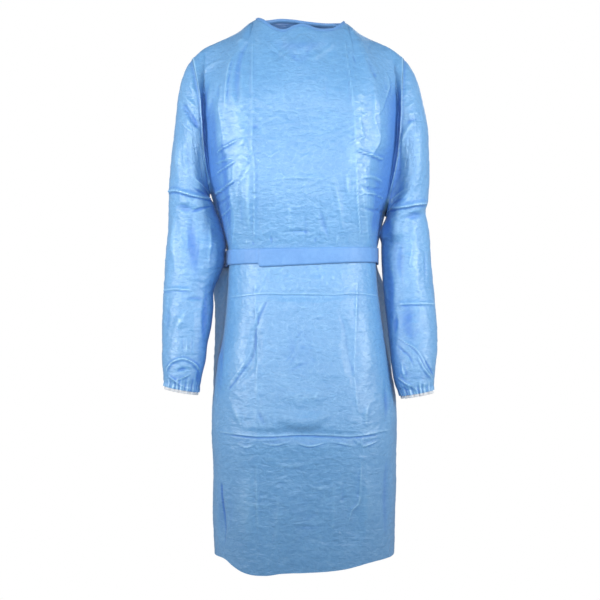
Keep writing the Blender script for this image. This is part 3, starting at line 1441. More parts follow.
BACK_CREASES = (
    sharp(5, 1.4, (-99, 30), (-98, -240), (-100, -436), taper=0.08),
    sharp(5, 1.1, (-97, -482), (-94, -700), (-98, -1060), taper=0.1),
    sharp(5, 1.4, (104, 30), (106, -200), (110, -436), taper=0.08),
    sharp(5, 1.1, (112, -482), (108, -700), (104, -1060), taper=0.1),
    lap(10, 2.2, (172, -538), (96, -534), (0, -533), (-100, -535), (-172, -539), taper=0.06),
    lap(11, 3.0, (180, -814), (90, -818), (0, -814), (-90, -820), (-180, -816), taper=0.06),
    sharp(6, 1.0, (160, -250), (60, -246), (-60, -248), (-160, -252), taper=0.15),
    soft(14, 3.0, (-44, 34), (-70, -20), (-112, -78), taper=0.3),
    soft(14, 3.0, (44, 32), (72, -18), (110, -80), taper=0.3),
    soft(12, -2.4, (-20, 34), (-26, -40), (-48, -110), taper=0.35),
    soft(12, -2.4, (26, 30), (30, -36), (56, -120), taper=0.35),
    soft(10, -3.2, (-180, -178), (-140, -204), (-108, -250), taper=0.3),
    soft(10, -3.2, (182, -172), (146, -206), (112, -246), taper=0.3),
    lap(9, 3.0, (-184, -250), (-150, -262), (-118, -300), taper=0.3),
    lap(9, 3.0, (120, -304), (150, -270), (184, -256), taper=0.3),
    soft(12, 2.6, (-60, -300), (-40, -370), (-44, -434), taper=0.3),
    soft(12, 2.4, (34, -290), (48, -360), (40, -434), taper=0.3),
    sharp(8, -2.0, (-8, -340), (-4, -390), (-10, -436), taper=0.3),
    sharp(8, -1.8, (78, -350), (82, -400), (74, -436), taper=0.3),
    soft(9, 2.0, (-128, -350), (-120, -400), (-126, -436), taper=0.3),
    soft(12, 3.0, (-140, -480), (-146, -540), (-150, -640), taper=0.25),
    soft(11, 2.6, (-76, -480), (-80, -560), (-84, -660), taper=0.25),
    soft(10, 2.2, (-20, -482), (-10, -560), (-16, -650), taper=0.25),
    soft(12, 2.8, (88, -480), (94, -560), (98, -670), taper=0.25),
    soft(11, 2.6, (146, -480), (152, -560), (158, -660), taper=0.25),
    soft(20, 3.4, (-60, -700), (-66, -860), (-76, -1060), taper=0.2),
    soft(22, 3.0, (20, -680), (26, -860), (14, -1060), taper=0.2),
    soft(18, 3.2, (100, -720), (102, -860), (96, -1060), taper=0.2),
    soft(18, 3.0, (-150, -760), (-152, -900), (-158, -1060), taper=0.2),
    sharp(8, 1.6, (-128, -610), (-80, -622), (-30, -610), taper=0.35),
    sharp(8, 1.6, (40, -600), (90, -616), (140, -604), taper=0.35),
    sharp(7, 1.2, (-120, -930), (-60, -944), (0, -934), taper=0.4),
    sharp(7, 1.2, (20, -900), (80, -914), (150, -902), taper=0.4),
)
RIGHT_SLEEVE_BACK_CREASES = (
    soft(13, 3.4, (-252, -110), (-228, -150), (-206, -210), taper=0.3),
    soft(11, -3.2, (-262, -180), (-236, -220), (-206, -262), taper=0.3),
    lap(12, 4.8, (-180, -330), (-220, -322), (-270, -300), taper=0.15),
    soft(12, -3.0, (-186, -352), (-224, -350), (-268, -336), taper=0.3),
    soft(15, -3.8, (-216, -370), (-224, -450), (-214, -520), taper=0.25),
    soft(12, 2.6, (-258, -380), (-262, -450), (-256, -510), taper=0.3),
    lap(8, 2.4, (-194, -526), (-240, -528), (-286, -526), taper=0.15),
    soft(12, 2.8, (-252, -560), (-230, -590), (-214, -640), taper=0.3),
    sharp(8, -2.4, (-272, -590), (-256, -620), (-246, -670), taper=0.3),
    sharp(6, 2.4, (-270, -690), (-240, -670), (-212, -694), taper=0.2),
)
LEFT_SLEEVE_BACK_CREASES = (
    soft(13, 3.4, (244, -120), (226, -160), (204, -220), taper=0.3),
    soft(11, -3.2, (258, -190), (232, -232), (204, -270), taper=0.3),
    lap(12, 4.8, (262, -340), (220, -360), (178, -372), taper=0.15),
    soft(12, -3.0, (262, -372), (222, -388), (182, -398), taper=0.3),
    soft(15, -3.8, (222, -400), (230, -470), (220, -540), taper=0.25),
    soft(12, 2.4, (254, -400), (260, -460), (256, -530), taper=0.3),
    lap(8, 2.4, (276, -556), (236, -556), (186, -554), taper=0.15),
    soft(12, 2.8, (252, -580), (234, -612), (212, -650), taper=0.3),
    sharp(8, -2.4, (262, -640), (244, -670), (236, -700), taper=0.3),
    sharp(6, 2.4, (262, -706), (236, -690), (206, -706), taper=0.2),
)
BODY_WRINKLES = (
    Wrinkles((-4, -190), (130, 110), 90, 26, 0.7, 4, 26, 11),
    Wrinkles((-110, -230), (50, 110), 44, 22, 0.9, 20, 34, 12),
    Wrinkles((110, -230), (50, 110), 48, 22, 0.9, -16, 34, 13),
    Wrinkles((-4, -400), (120, 40), 30, 24, 0.7, 6, 30, 14),
    Wrinkles((0, -500), (130, 26), 34, 18, 0.8, 84, 14, 15),
    Wrinkles((-4, -650), (130, 90), 60, 26, 0.7, 60, 60, 16),
    Wrinkles((0, -930), (150, 110), 110, 34, 0.6, 2, 12, 17),
    Wrinkles((0, -40), (150, 50), 40, 22, 0.8, 70, 30, 18),
)
BACK_WRINKLES = (
    Wrinkles((0, -180), (160, 120), 110, 28, 0.8, 8, 40, 21),
    Wrinkles((0, -400), (130, 50), 50, 22, 0.9, 70, 34, 22),
    Wrinkles((0, -620), (150, 120), 80, 30, 0.8, 50, 50, 23),
    Wrinkles((0, -930), (160, 110), 100, 34, 0.7, 6, 26, 24),
)


@dataclass
class FrontPanel:
    """The whole front, one cut of cloth from the hem to the shoulder seams.

    Attributes:
        large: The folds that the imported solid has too.
        boldness: A factor on their lift.
        wrinkle_boldness: The same for the wrinkles.
        crispness: How strongly small ridges and hollows show as paler and deeper lines.
        row_gap: The distance between two rows of points, and fine_row_gap near the level creases.
        level_creases: The heights of the creases that cross the whole panel.
        upper_rows: How many rows there are over the shoulders.
        column_gap: The share of the way across from point to point, and fine_column_gap at the sides.
        across: About how wide the panel is.
        lip: How far the turned cloth along the armhole seam stands up.
        lip_place: How far from the seam it is highest, and lip_width how wide it is.
        shades: Places where the cloth lies double or turns away, with how much deeper its colour looks.
    """

    form: GownForm
    flat_size: Pair = (0.62, 1.20)
    flat_area: float = 0.60
    creases: tuple[Crease, ...] = PACKAGE_CREASES + VALLEY_EDGES + CHEST_CREASES + SKIRT_CREASES
    boldness: float = 1.5
    wrinkle_boldness: float = 1.1
    row_gap: float = 2.7
    fine_row_gap: float = 1.6
    level_creases: Pair = (-822.0, -537.0)
    upper_rows: int = 76
    column_gap: float = 0.0052
    fine_column_gap: float = 0.003
    across: float = 520.0
    lip_place: float = 2.6
    lip_width: float = 1.8
    crispness: float = 2.3
    lip: float = 0.9
    shades: tuple[Crease, ...] = SHADED_PLACES
    wrinkles: tuple[Wrinkles, ...] = BODY_WRINKLES
    large: tuple[Crease, ...] = (
        soft(16, -3.0, (-130, -536), (0, -538), (145, -536)),
        soft(20, -5.0, (-150, -808), (-60, -812), (0, -815), (100, -818), (150, -812)),
        soft(26, 6.0, (-60, -770), (0, -790), (70, -770)),
        soft(18, -6.0, (-68, -560), (-92, -600), (-97, -650), (-108, -690), (-150, -735)),
        soft(20, -4.0, (72, -560), (90, -610), (98, -680), (116, -740)),
        soft(20, 2.5, (-98, 0), (-98, -200), (-97, -420)),
        soft(20, 2.5, (100, 0), (108, -200), (114, -400)),
        soft(34, 4.0, (0, 10), (0, -60)),
        soft(26, -4.0, (-40, 0), (-52, -70)),
        soft(26, -4.0, (44, 0), (54, -80)),
        soft(14, -6.0, (-161, -925), (-162, -1000), (-164, -1080)),
        soft(46, 4.0, (-30, -880), (-24, -980), (-30, -1080)),
        soft(40, -4.0, (96, -860), (104, -960), (98, -1080)),
    )

    def build(self) -> ClothGrid:
        """The panel's surface with its folds.

        Returns:
            The finished surface, with the depths of its folds.
        """
        form = self.form
        heights = graded(form.hem_z, form.yoke_z, self.row_gap, self.fine_row_gap, self.level_creases, 12.0)
        rises = np.linspace(0, 1, self.upper_rows)[1:]
        shares = graded(0.0, 1.0, self.column_gap, self.fine_column_gap, (0.0, 1.0), 0.012)
        panel = self.form.panel(Face.FRONT, heights, rises, shares)
        x, z = panel.points[:, :, 0], panel.points[:, :, 2]
        hold = ease(np.minimum(shares, 1 - shares) / 0.05)[None, :]
        panel = panel.raised(lifts(self.large, x, z) * hold * self.form.belt_hold(z))
        drawn = lifts(self.creases, x, z) * self.boldness
        drawn += lifts(patches(self.wrinkles), x, z) * self.wrinkle_boldness
        drawn = drawn * facing(panel, Face.FRONT)
        rough = crumple(panel, FRONT_SEED, 1.0) * (0.55 + 0.6 * ease((-560 - z) / 260))
        fine = drawn + rough
        from_edge = np.minimum(shares, 1 - shares)
        edge = ease(from_edge / 0.016)[None, :]
        up = np.concatenate([np.zeros(len(heights)), rises])
        top = ease((1 - up) / 0.07)[:, None]
        fine = fine * edge * top * (0.15 + 0.85 * self.form.belt_hold(z))
        valleys = self.valleys(panel) * (1.0 - 0.1 * np.clip(fine, -2, 4))
        panel.folds = fold_depths(panel, drawn) * (1 - 0.4 * valleys) + valleys + lifts(self.shades, x, z)
        panel.folds += hollows(panel, drawn + rough * 0.5, self.crispness) * edge * top
        out = from_edge[None, :] * self.across
        lip = bell(out - self.lip_place, self.lip_width) * (z > -492) * (up < 1.001)[:, None]
        fine += lip * self.lip
        panel.folds = np.clip(panel.folds - lip * 0.75, -1, 1)
        panel = panel.raised(fine)
        lowering = smooth_through(self.form.front_hem, "z", x) * hold
        drop = np.clip((self.form.hem_droop_top - z) / (self.form.hem_droop_top - self.form.hem_z), 0, 1)
        panel.points[:, :, 2] -= lowering * drop
        return panel

    def valleys(self, panel: ClothGrid) -> Numbers:
        """How deep each point lies in the valleys beside the armholes, from 0 to 1.

        Args:
            panel: The panel's surface.

        Returns:
            The depth at each point.
        """
        x, z = panel.points[:, :, 0], panel.points[:, :, 2]
        found = np.zeros(x.shape)
        for side, column in ((Side.RIGHT, 0), (Side.LEFT, -1)):
            name = side.label
            reach = smooth_through(self.form.facets, name + "_reach", z)
            share = smooth_through(self.form.facets, name + "_share", z)
            t = (np.abs(x[:, column])[:, None] - side.value * x) / reach
            found += 0.95 * share * (t >= 0) * ease(t / 0.06) * (1 - ease((t - 0.15) / 1.05))
        return found * (1 - ease((z + 150) / 80))

    def dress(self, panel: ClothGrid, finishes: Finishes) -> bpy.types.Object:
        """Makes the panel's object and declares its cut.

        Args:
            panel: The finished surface.
            finishes: The gown's finishes.

        Returns:
            The dressed piece.
        """
        piece = panel.piece("gown_front", finishes.cloth)
        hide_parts("front_panel")
        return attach(piece, BODY)


@dataclass
class BackPanels:
    """The two back panels, the left one lapping over the right one.

    Attributes:
        outer_edge: The share of the way across at which the left panel's free edge lies.
        inner_edge: The share at which the right one's does, beneath it.
        row_gap: The distance between two rows, and fine_row_gap near the level creases.
        level_creases: The heights of the creases that cross both panels.
        upper_rows: How many rows there are over the shoulders.
        columns: How many points there are across.
        highest: How far a fold may stand out, so that the belt and tab stay clear.
        tab_across: The shares of the way across between which the neck tab lies.
        tab_up: The shares of the way from the yoke to the neck between which it lies.
        tab_gap: Its distance from the cloth.
        layer_step: How far the right panel lies below the left one.
        neck_layer_step: The same at the neck, where both edges are bound.
        crease_boldness: A factor on the creases' lift.
        wrinkle_boldness: The same for the wrinkles.
        large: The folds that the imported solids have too.
    """

    form: GownForm
    creases: tuple[Crease, ...] = BACK_CREASES
    wrinkles: tuple[Wrinkles, ...] = BACK_WRINKLES
    outer_edge: float = 0.36
    inner_edge: float = 0.66
    layer_step: float = 2.4
    neck_layer_step: float = 7.4
    flat_size: Pair = (0.42, 1.21)
    flat_area: float = 0.42
    crease_boldness: float = 1.3
    wrinkle_boldness: float = 1.4
    row_gap: float = 3.1
    fine_row_gap: float = 1.9
    level_creases: Pair = (-818.0, -536.0)
    upper_rows: int = 64
    columns: int = 191
    highest: float = 2.0
    tab_across: Pair = (0.335, 0.46)
    tab_up: Pair = (0.72, 0.925)
    tab_gap: float = 0.6
    large: tuple[Crease, ...] = (
        soft(32, -12.0, (-112, -500), (-120, -760), (-122, -1080)),
        soft(34, -12.0, (124, -500), (128, -740), (134, -1080)),
        soft(30, -8.0, (60, -520), (64, -800), (72, -1080)),
        soft(30, -7.0, (-40, -560), (-46, -800), (-40, -1080)),
        soft(30, -9.0, (-96, -150), (-104, -280), (-90, -430)),
        soft(30, -9.0, (92, -150), (106, -280), (92, -430)),
        soft(30, -6.0, (10, -200), (14, -320), (8, -430)),
    )

    def build(self) -> tuple[ClothGrid, ClothGrid, ClothGrid]:
        """The right and left panels' surfaces, and the tab's that lies on them.

        Returns:
            The three surfaces.
        """
        form = self.form
        heights = graded(form.hem_z, form.yoke_z, self.row_gap, self.fine_row_gap, self.level_creases, 12.0)
        rises = np.linspace(0, 1, self.upper_rows)[1:]
        edges = [self.outer_edge, self.inner_edge]
        shares = np.sort(np.concatenate([np.linspace(0, 1, self.columns), edges]))
        whole = self.form.panel(Face.BACK, heights, rises, shares)
        x, z = whole.points[:, :, 0], whole.points[:, :, 2]
        hold = ease(np.minimum(shares, 1 - shares) / 0.05)[None, :]
        folds = np.minimum(lifts(self.large, x, z), 0) * hold * self.form.belt_hold(z)
        whole = whole.raised(folds)
        up = np.concatenate([np.zeros(len(heights)), rises])
        drawn = lifts(self.creases, x, z) * self.crease_boldness
        drawn += lifts(patches(self.wrinkles), x, z) * self.wrinkle_boldness
        fine = drawn * facing(whole, Face.BACK) + crumple(whole, BACK_SEED, 1.2)
        edge = ease(np.minimum(shares, 1 - shares) / 0.016)[None, :] * ease((1 - up) / 0.07)[:, None]
        fine = np.minimum(fine, self.highest) * edge * (0.1 + 0.9 * self.form.belt_hold(z))
        whole.folds = fold_depths(whole, folds * 0.6 + drawn)
        whole = whole.raised(fine)
        step = self.layer_step + (self.neck_layer_step - self.layer_step) * ease((up - 0.55) / 0.3)
        ramp = ease((shares - self.form.neck_share) / (self.outer_edge - self.form.neck_share))
        under = whole.raised(-step[:, None] * ramp[None, :])
        on_right, on_left = shares <= self.inner_edge, shares >= self.outer_edge
        right = ClothGrid(under.points[:, on_right], -1, False, whole.folds[:, on_right])
        left = ClothGrid(whole.points[:, on_left], -1, False, whole.folds[:, on_left])
        on_tab = (shares >= self.tab_across[0]) & (shares <= self.tab_across[1])
        rows = (up >= self.tab_up[0]) & (up <= self.tab_up[1])
        tab = ClothGrid(whole.raised(self.tab_gap).points[rows][:, on_tab], -1)
        return right, left, tab

    def dress(self, right: ClothGrid, left: ClothGrid, finishes: Finishes) -> list[bpy.types.Object]:
        """Makes the panels' objects and declares their cuts.

        Args:
            right: The right panel's surface.
            left: The left one's.
            finishes: The gown's finishes.

        Returns:
            The dressed pieces.
        """
        pieces = []
        for side, grid in zip(Side, (right, left)):
            piece = grid.piece("gown_back_" + side.label, finishes.cloth)
            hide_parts("back_panel_" + side.label)
            pieces.append(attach(piece, BODY))
        return pieces


@dataclass
class Sleeve:
    """One sleeve, a closed tube from the armhole to the wrist.

    Attributes:
        rings: Its sections from the armhole down.
        front_creases: Folds drawn over the front view.
        back_creases: Folds drawn over the back view.
        shades: Places on its front where the cloth looks deeper or paler, as in FrontPanel.
        columns: How many points each ring has.
        ring_gap: The distance between two rings.
        closeness: How far its inner side stands out below the armpit, where it lies near the body.
        crispness: How strongly small ridges and hollows show as paler and deeper lines.
        front_boldness: A factor on the front creases' lift.
        back_boldness: The same for the back ones.
        crumpling: How strongly the whole sleeve is crumpled.
        low_ends: How far down the inner side stands out, for each side.
        gathers: How many small pleats the elastic draws up at the wrist.
        elastic_place: How far above the wrist's edge the elastic draws the cloth in.
        groove: How deep the seam's groove is, and groove_place how far it is from the seam.
    """

    form: GownForm
    side: Side
    rings: tuple[Ring, ...]
    front_creases: tuple[Crease, ...] = ()
    back_creases: tuple[Crease, ...] = ()
    shades: tuple[Crease, ...] = ()
    flat_size: Pair = (0.44, 0.72)
    flat_area: float = 0.21
    columns: int = 172
    ring_gap: float = 2.3
    closeness: float = 4.5
    crispness: float = 2.3
    front_boldness: float = 1.35
    back_boldness: float = 1.2
    crumpling: float = 1.25
    low_ends: dict[Side, float] = field(default_factory=lambda: {Side.RIGHT: -455.0, Side.LEFT: -430.0})
    gathers: int = 19
    gather_height: float = 1.5
    elastic_place: float = 11.0
    groove: float = 1.2
    groove_place: float = 3.5

    def build(self, front: ClothGrid, back: ClothGrid) -> ClothGrid:
        """The sleeve's surface, from the panels' own armhole edges down to the wrist.

        Args:
            front: The front panel's surface.
            back: The back panel's on this side.

        Returns:
            The finished surface.
        """
        edge = 0 if self.side is Side.RIGHT else -1
        bottom = self.form.armhole_bottoms[self.side]
        up = front.points[front.points[:, edge, 2] >= bottom - 0.5][:, edge]
        down = back.points[back.points[:, edge, 2] >= bottom - 0.5][:, edge][::-1]
        loop = np.concatenate([up, down[:-1], up[:1]])
        turns = np.linspace(0, 2 * math.pi, self.columns, endpoint=False)
        first = at_lengths(loop, turns / (2 * math.pi) * lengths_to(loop)[-1])
        top, low = first[self.columns // 2], first[0]
        half, centre = (low - top) / 2, (low + top) / 2
        local = (first - centre) @ half / (half @ half)
        bow = first[:, 0] - (centre + local[:, None] * half)[:, 0]
        numbers = np.arange(1, len(self.rings) + 1, dtype=float)
        outer = np.array([(ring.outer_x, ring.outer_z) for ring in self.rings])
        inner = np.array([(ring.inner_x, ring.inner_z) for ring in self.rings])
        steps = (lengths_to(outer) + lengths_to(inner)) / 2
        places = np.interp(np.linspace(0, steps[-1], int(steps[-1] / self.ring_gap)), steps, numbers)
        rows = [first + np.array([self.side.value * SEAM_GAP * 2, 0, 0])]
        for place in places:
            rows.append(self.ring_points(place, numbers, turns, local, bow, first))
        lead = [rows[0] + (rows[1] - rows[0]) * t for t in (0.2, 0.4, 0.6, 0.8)]
        return self.creased(ClothGrid(np.array(rows[:1] + lead + rows[1:]), -self.side.value, True), turns)

    def creased(self, sleeve: ClothGrid, turns: Numbers) -> ClothGrid:
        """The sleeve with its folds, its seam set in at the armhole and its gathers at the wrist.

        Args:
            sleeve: The smooth sleeve.
            turns: Each point's angle round a ring.

        Returns:
            The finished surface.
        """
        x, z = sleeve.points[:, :, 0], sleeve.points[:, :, 2]
        drawn = lifts(self.front_creases, x, z) * facing(sleeve, Face.FRONT) * self.front_boldness
        drawn += lifts(self.back_creases, x, z) * facing(sleeve, Face.BACK) * self.back_boldness
        inner = ease((np.cos(turns) - 0.25) / 0.75)[None, :] * 0.55
        sleeve.folds = fold_depths(sleeve, drawn) + inner * (1 - 0.2 * np.clip(drawn, -2, 4))
        sleeve.folds += lifts(self.shades, x, z) * facing(sleeve, Face.FRONT)
        rough = crumple(sleeve, SLEEVE_SEEDS[self.side], self.crumpling)
        fine = drawn + rough
        down = lengths_to(sleeve.points.mean(axis=1))
        from_seam, from_wrist = down[:, None], (down[-1] - down)[:, None]
        fine = fine * ease(from_seam / 9) * (0.25 + 0.75 * ease(from_wrist / 24))
        wave = np.sin(turns * self.gathers + 1.7 * np.sin(turns * 3 + 0.6))
        wave += 0.5 * np.sin(turns * (self.gathers * 2 - 5))
        fine += wave[None, :] * self.gather_height * (1 - ease(from_wrist / 34)) ** 1.4
        fine -= bell(from_wrist - self.elastic_place, 4.5)
        groove = bell(from_seam - self.groove_place, 2.8)
        crisp = hollows(sleeve, fine - rough * 0.65, self.crispness) * ease(from_seam / 8)
        sleeve.folds = np.clip(sleeve.folds + crisp + groove * 0.6, -1, 1)
        beside = ease((z - self.low_ends[self.side]) / 25) * (1 - ease((z + 345) / 20))
        beside = beside * ease((np.cos(turns) + 0.1) / 0.6)[None, :]
        return sleeve.raised(fine - groove * self.groove * ease(from_seam / 2) + beside * self.closeness)

    def ring_points(
        self, place: float, numbers: Numbers, turns: Numbers, local: Numbers, bow: Numbers, first: Numbers
    ) -> Numbers:
        """One ring's points.

        Args:
            place: The ring's number, between those of the table's rings.
            numbers: The table's ring numbers.
            turns: Each point's angle round the ring.
            local: Where the armhole's points lie between its top and bottom.
            bow: How far the armhole's points stand off the straight line between those.
            first: The armhole's points.

        Returns:
            The points.
        """
        read = {name: float(smooth_through(self.rings, name, place, numbers)) for name in Ring._fields}
        sign = self.side.value
        outer = np.array([sign * read["outer_x"], read["centre_y"], read["outer_z"]])
        inner = np.array([sign * read["inner_x"], read["centre_y"], read["inner_z"]])
        oval = float(ease((place - 1) / 5))
        reach = np.cos(turns) * oval + local * (1 - oval)
        bulge = -np.sin(turns) * read["half_depth"] * oval
        bulge = bulge + first[:, 1] / self.form.armhole_half_depth * (read["half_depth"] * (1 - oval))
        points = (outer + inner) / 2 + reach[:, None] * (inner - outer) / 2
        points[:, 0] += bow * (1 - oval)
        points[:, 1] += bulge
        return points

    def dress(self, sleeve: ClothGrid, finishes: Finishes) -> bpy.types.Object:
        """Makes the sleeve's object and declares its cut.

        Args:
            sleeve: The finished surface.
            finishes: The gown's finishes.

        Returns:
            The dressed piece.
        """
        name = self.side.label
        piece = sleeve.piece("gown_sleeve_" + name, finishes.cloth)
        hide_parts("sleeve_" + name)
        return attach(piece, BODY)


@dataclass
class Cuff:
    """The knitted elastic ring in a sleeve's end.

    Attributes:
        shows: How far it shows below the cloth.
        inside: How far it reaches up inside.
        gap: Its distance from the cloth.
    """

    side: Side
    shows: float = 6.0
    inside: float = 10.0
    gap: float = 1.6
    thickness: float = 1.0
    flat_size: Pair = (0.016, 0.20)

    def build(self, sleeve: ClothGrid, finishes: Finishes) -> bpy.types.Object:
        """The ring's object.

        Args:
            sleeve: The surface of the sleeve that it is in.
            finishes: The gown's finishes.

        Returns:
            The dressed piece.
        """
        end, before = sleeve.points[-1], sleeve.points[-4]
        centre = end.mean(axis=0)
        down = centre - before.mean(axis=0)
        down /= np.linalg.norm(down)
        step, inwards = unit(end - before), unit(centre - end)
        deep, shown = end - step * self.inside, end + down * self.shows
        near, far = inwards * (self.gap + 1.0), inwards * (self.gap + 1.0 + self.thickness)
        middle = (end + shown) / 2
        inside = [deep + near, end + near, middle + near * 0.9, shown + near]
        profile = inside + [shown + far, middle + far, end + far, deep + far]
        name = self.side.label
        piece = swept("gown_cuff_" + name, np.stack(profile, axis=1), True, finishes.elastic)
        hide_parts("cuff_" + name)
        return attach(piece, BODY)


@dataclass
class NeckBinding:
    """A narrow strip folded over one stretch of the neck edge.

    Attributes:
        node: The solid that it stands for.
        width: How far it reaches down on each side.
        gap: Its distance from the cloth.
    """

    node: str
    flat_size: Pair
    width: float = 5.5
    gap: float = 0.5
    thickness: float = 0.7

    def build(self, panel: ClothGrid, finishes: Finishes) -> bpy.types.Object:
        """The strip's object, along the panel's own top edge.

        Args:
            panel: The panel's surface.
            finishes: The gown's finishes.

        Returns:
            The dressed piece.
        """
        top = panel.points[-1]
        columns = np.flatnonzero(np.abs(top[:, 1]) > SEAM_GAP)
        top = top[columns]
        below = panel.points[-4][columns]
        out = panel.normals()[-1][columns]
        up = unit(top - below)
        near, far = self.gap, self.gap + self.thickness
        low = top - up * self.width
        profile = [
            low + out * far * 0.9, low + up * 1.2 + out * far, top + out * far,
            top + out * far * 0.7 + up * far * 0.7, top + up * far,
            top - out * far * 0.7 + up * far * 0.7, top - out * far, low - out * far,
            low - out * near, top - out * near, top + up * near, top + out * near, low + out * near,
        ]
        piece = swept("gown_" + self.node, np.stack(profile, axis=1), False, finishes.tape)
        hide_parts(self.node)
        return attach(piece, BODY)


@dataclass
class Belt:
    """The waist tie: a strip round the waist, its knot and its two hanging ends.

    Attributes:
        fold_x: Where the tape is folded over on the front, and is wider and thicker from there on.
        kink_x: Where the folded tape has a small kink.
        fold_width: How much wider the fold makes it.
        narrowing: How much narrower it is on the front otherwise.
        tilt: How much higher it is towards the wearer's left.
        gap: Its distance from the cloth.
        join_gap: How far apart the strip's two ends are, behind the knot.
        knot_size: The knot's size across, in depth and up.
        end_length: How far each end hangs down.
        end_offset: How far from the knot's middle it starts.
        end_spread: How far it leans out for each millimetre down.
        end_widths: How wide it is at the knot and lower down.
    """

    form: GownForm
    knot_x: float = 14.0
    fold_x: float = -88.0
    kink_x: float = -41.0
    fold_width: float = 7.0
    narrowing: float = 3.0
    top_z: float = -440.0
    bottom_z: float = -474.0
    tilt: float = 0.016
    thickness: float = 0.9
    gap: float = 0.6
    join_gap: float = 4.0
    knot_size: tuple[float, float, float] = (40.0, 14.0, 30.0)
    end_length: float = 250.0
    end_offset: float = 10.5
    end_spread: float = 0.12
    end_widths: Pair = (18.0, 34.0)
    flat_size: Pair = (0.034, 0.90)

    def waist_line(self, grids: tuple[ClothGrid, ...]) -> Numbers:
        """The strip's plan line round the waist, evenly spaced, from one side of the knot to the other.

        Args:
            grids: The panels' surfaces.

        Returns:
            The line's (x, y) points.
        """
        rows = []
        for grid in grids:
            inside = (grid.points[:, :, 2] > self.bottom_z - 6) & (grid.points[:, :, 2] < self.top_z + 6)
            rows.append(grid.points[inside])
        line = hull_line(np.concatenate(rows)[:, :2])
        ends = self.knot_x - self.join_gap / 2, self.knot_x + self.join_gap / 2
        closed = np.concatenate([line, line[:1]])
        fine = at_lengths(closed, np.linspace(0, lengths_to(closed)[-1], 2400))
        behind = fine[:, 1] > 0
        first = np.argmin(np.where(behind, np.abs(fine[:, 0] - ends[0]), 1e9))
        fine = np.roll(fine[:-1], -first, axis=0)
        behind = fine[:, 1] > 0
        last = np.argmin(np.where(behind & (fine[:, 0] > self.knot_x), np.abs(fine[:, 0] - ends[1]), 1e9))
        line = fine[: last + 1]
        return at_lengths(line, np.linspace(0, lengths_to(line)[-1], 520))

    def build(self, grids: tuple[ClothGrid, ...], finishes: Finishes) -> list[bpy.types.Object]:
        """The strip, the knot and the two ends.

        Args:
            grids: The panels' surfaces.
            finishes: The gown's finishes.

        Returns:
            The four dressed pieces.
        """
        line = self.waist_line(grids)
        along = np.gradient(line, axis=0)
        out = unit(np.stack([along[:, 1], -along[:, 0]], axis=1))
        profiles = []
        for place, outwards in zip(line, out):
            tilt = place[0] * self.tilt
            over = float(ease((place[0] - self.fold_x) / 1.6)) * (place[1] < 0)
            wider = over * self.fold_width * float(ease((150.0 - place[0]) / 260.0))
            low = self.bottom_z + tilt + (self.narrowing - wider) * (place[1] < -20)
            kink = 0.5 * float(bell(place[0] - self.kink_x, 2.5)) * (place[1] < 0)
            loop = []
            for share, far in self.strip_profile():
                z = low + (self.top_z + tilt - low) * share
                spot = place + outwards * (self.gap + far + (0.9 * over + kink) * (far > 0))
                loop.append((spot[0], spot[1], z))
            profiles.append(loop)
        pieces = [swept("gown_belt", np.array(profiles), False, finishes.tape)]
        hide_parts("belt")
        pieces.append(self.knot(line[0, 1] + self.gap + self.thickness, finishes))
        for side in Side:
            pieces.append(self.hanging_end(side, finishes))
        for piece in pieces:
            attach(piece, BODY)
        return pieces

    def strip_profile(self) -> list[tuple[float, float]]:
        """The strip's profile: shares of its height, with how far out each point lies."""
        shares = np.linspace(0, 1, 9)
        outer = [(float(s), self.thickness + 0.25 * math.sin(math.pi * float(s))) for s in shares]
        inner = [(float(s), 0.0) for s in shares[::-1]]
        return outer + inner

    def knot(self, at_y: float, finishes: Finishes) -> bpy.types.Object:
        """The knot: gathered tape with one turn wrapped over its middle.

        Args:
            at_y: The Y of its inner side.
            finishes: The gown's finishes.

        Returns:
            The knot's object.
        """
        build = bmesh.new()
        layer = build.loops.layers.uv.new(UV_NAME)
        bmesh.ops.create_uvsphere(build, u_segments=72, v_segments=40, radius=0.5)
        middle = (self.top_z + self.bottom_z) / 2
        for vert in build.verts:
            x, y, z = vert.co
            wrap = 1 - float(ease((abs(x + 0.25 * z) - 0.13) / 0.05))
            pinch = 1 - 0.16 * math.cos(2 * math.pi * x) * (abs(x) < 0.25)
            pleat = 1 + 0.05 * math.sin(math.atan2(z, y) * 9 + x * 5) * (1 - wrap)
            grow = 1 + 0.10 * wrap
            vert.co = (
                (self.knot_x + x * self.knot_size[0]) * MM,
                (at_y + (y * grow * pleat + 0.5) * self.knot_size[1]) * MM,
                (middle + z * self.knot_size[2] * pinch * grow * pleat) * MM,
            )
        for face in build.faces:
            for loop in face.loops:
                loop[layer].uv = (loop.vert.co.x, loop.vert.co.z)
        mesh = bpy.data.meshes.new("gown_belt_knot")
        build.to_mesh(mesh)
        build.free()
        piece = linked("gown_belt_knot", mesh, finishes.tape)
        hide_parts("belt_knot")
        return piece

    def hanging_end(self, side: Side, finishes: Finishes) -> bpy.types.Object:
        """One end of the tape, hanging on the back of the skirt.

        Args:
            side: The side that it hangs to.
            finishes: The gown's finishes.

        Returns:
            The end's object.
        """
        profiles = []
        for down in np.linspace(0, self.end_length, 90):
            z = self.bottom_z - 1.0 - down
            x = self.knot_x + side.value * (self.end_offset + self.end_spread * down)
            wide = self.end_widths[0] + (self.end_widths[1] - self.end_widths[0]) * float(ease(down / 60))
            y = float(smooth_through(self.form.sections, "back_depth", z)) + 2.2
            y += 0.8 * math.sin(down / 31.0 + side.value) * float(ease(down / 50)) + 0.8
            loop = []
            for turn, far in ((1, self.thickness), (-1, 0.0)):
                for share in turn * np.linspace(-0.5, 0.5, 9):
                    cup = 0.7 * math.cos(share * 5 + down / 40)
                    loop.append((x + share * wide, y + far + cup, z))
            profiles.append(loop)
        name = side.label
        piece = swept("gown_belt_end_" + name, np.array(profiles), False, finishes.tape)
        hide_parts("belt_end_" + name)
        return piece


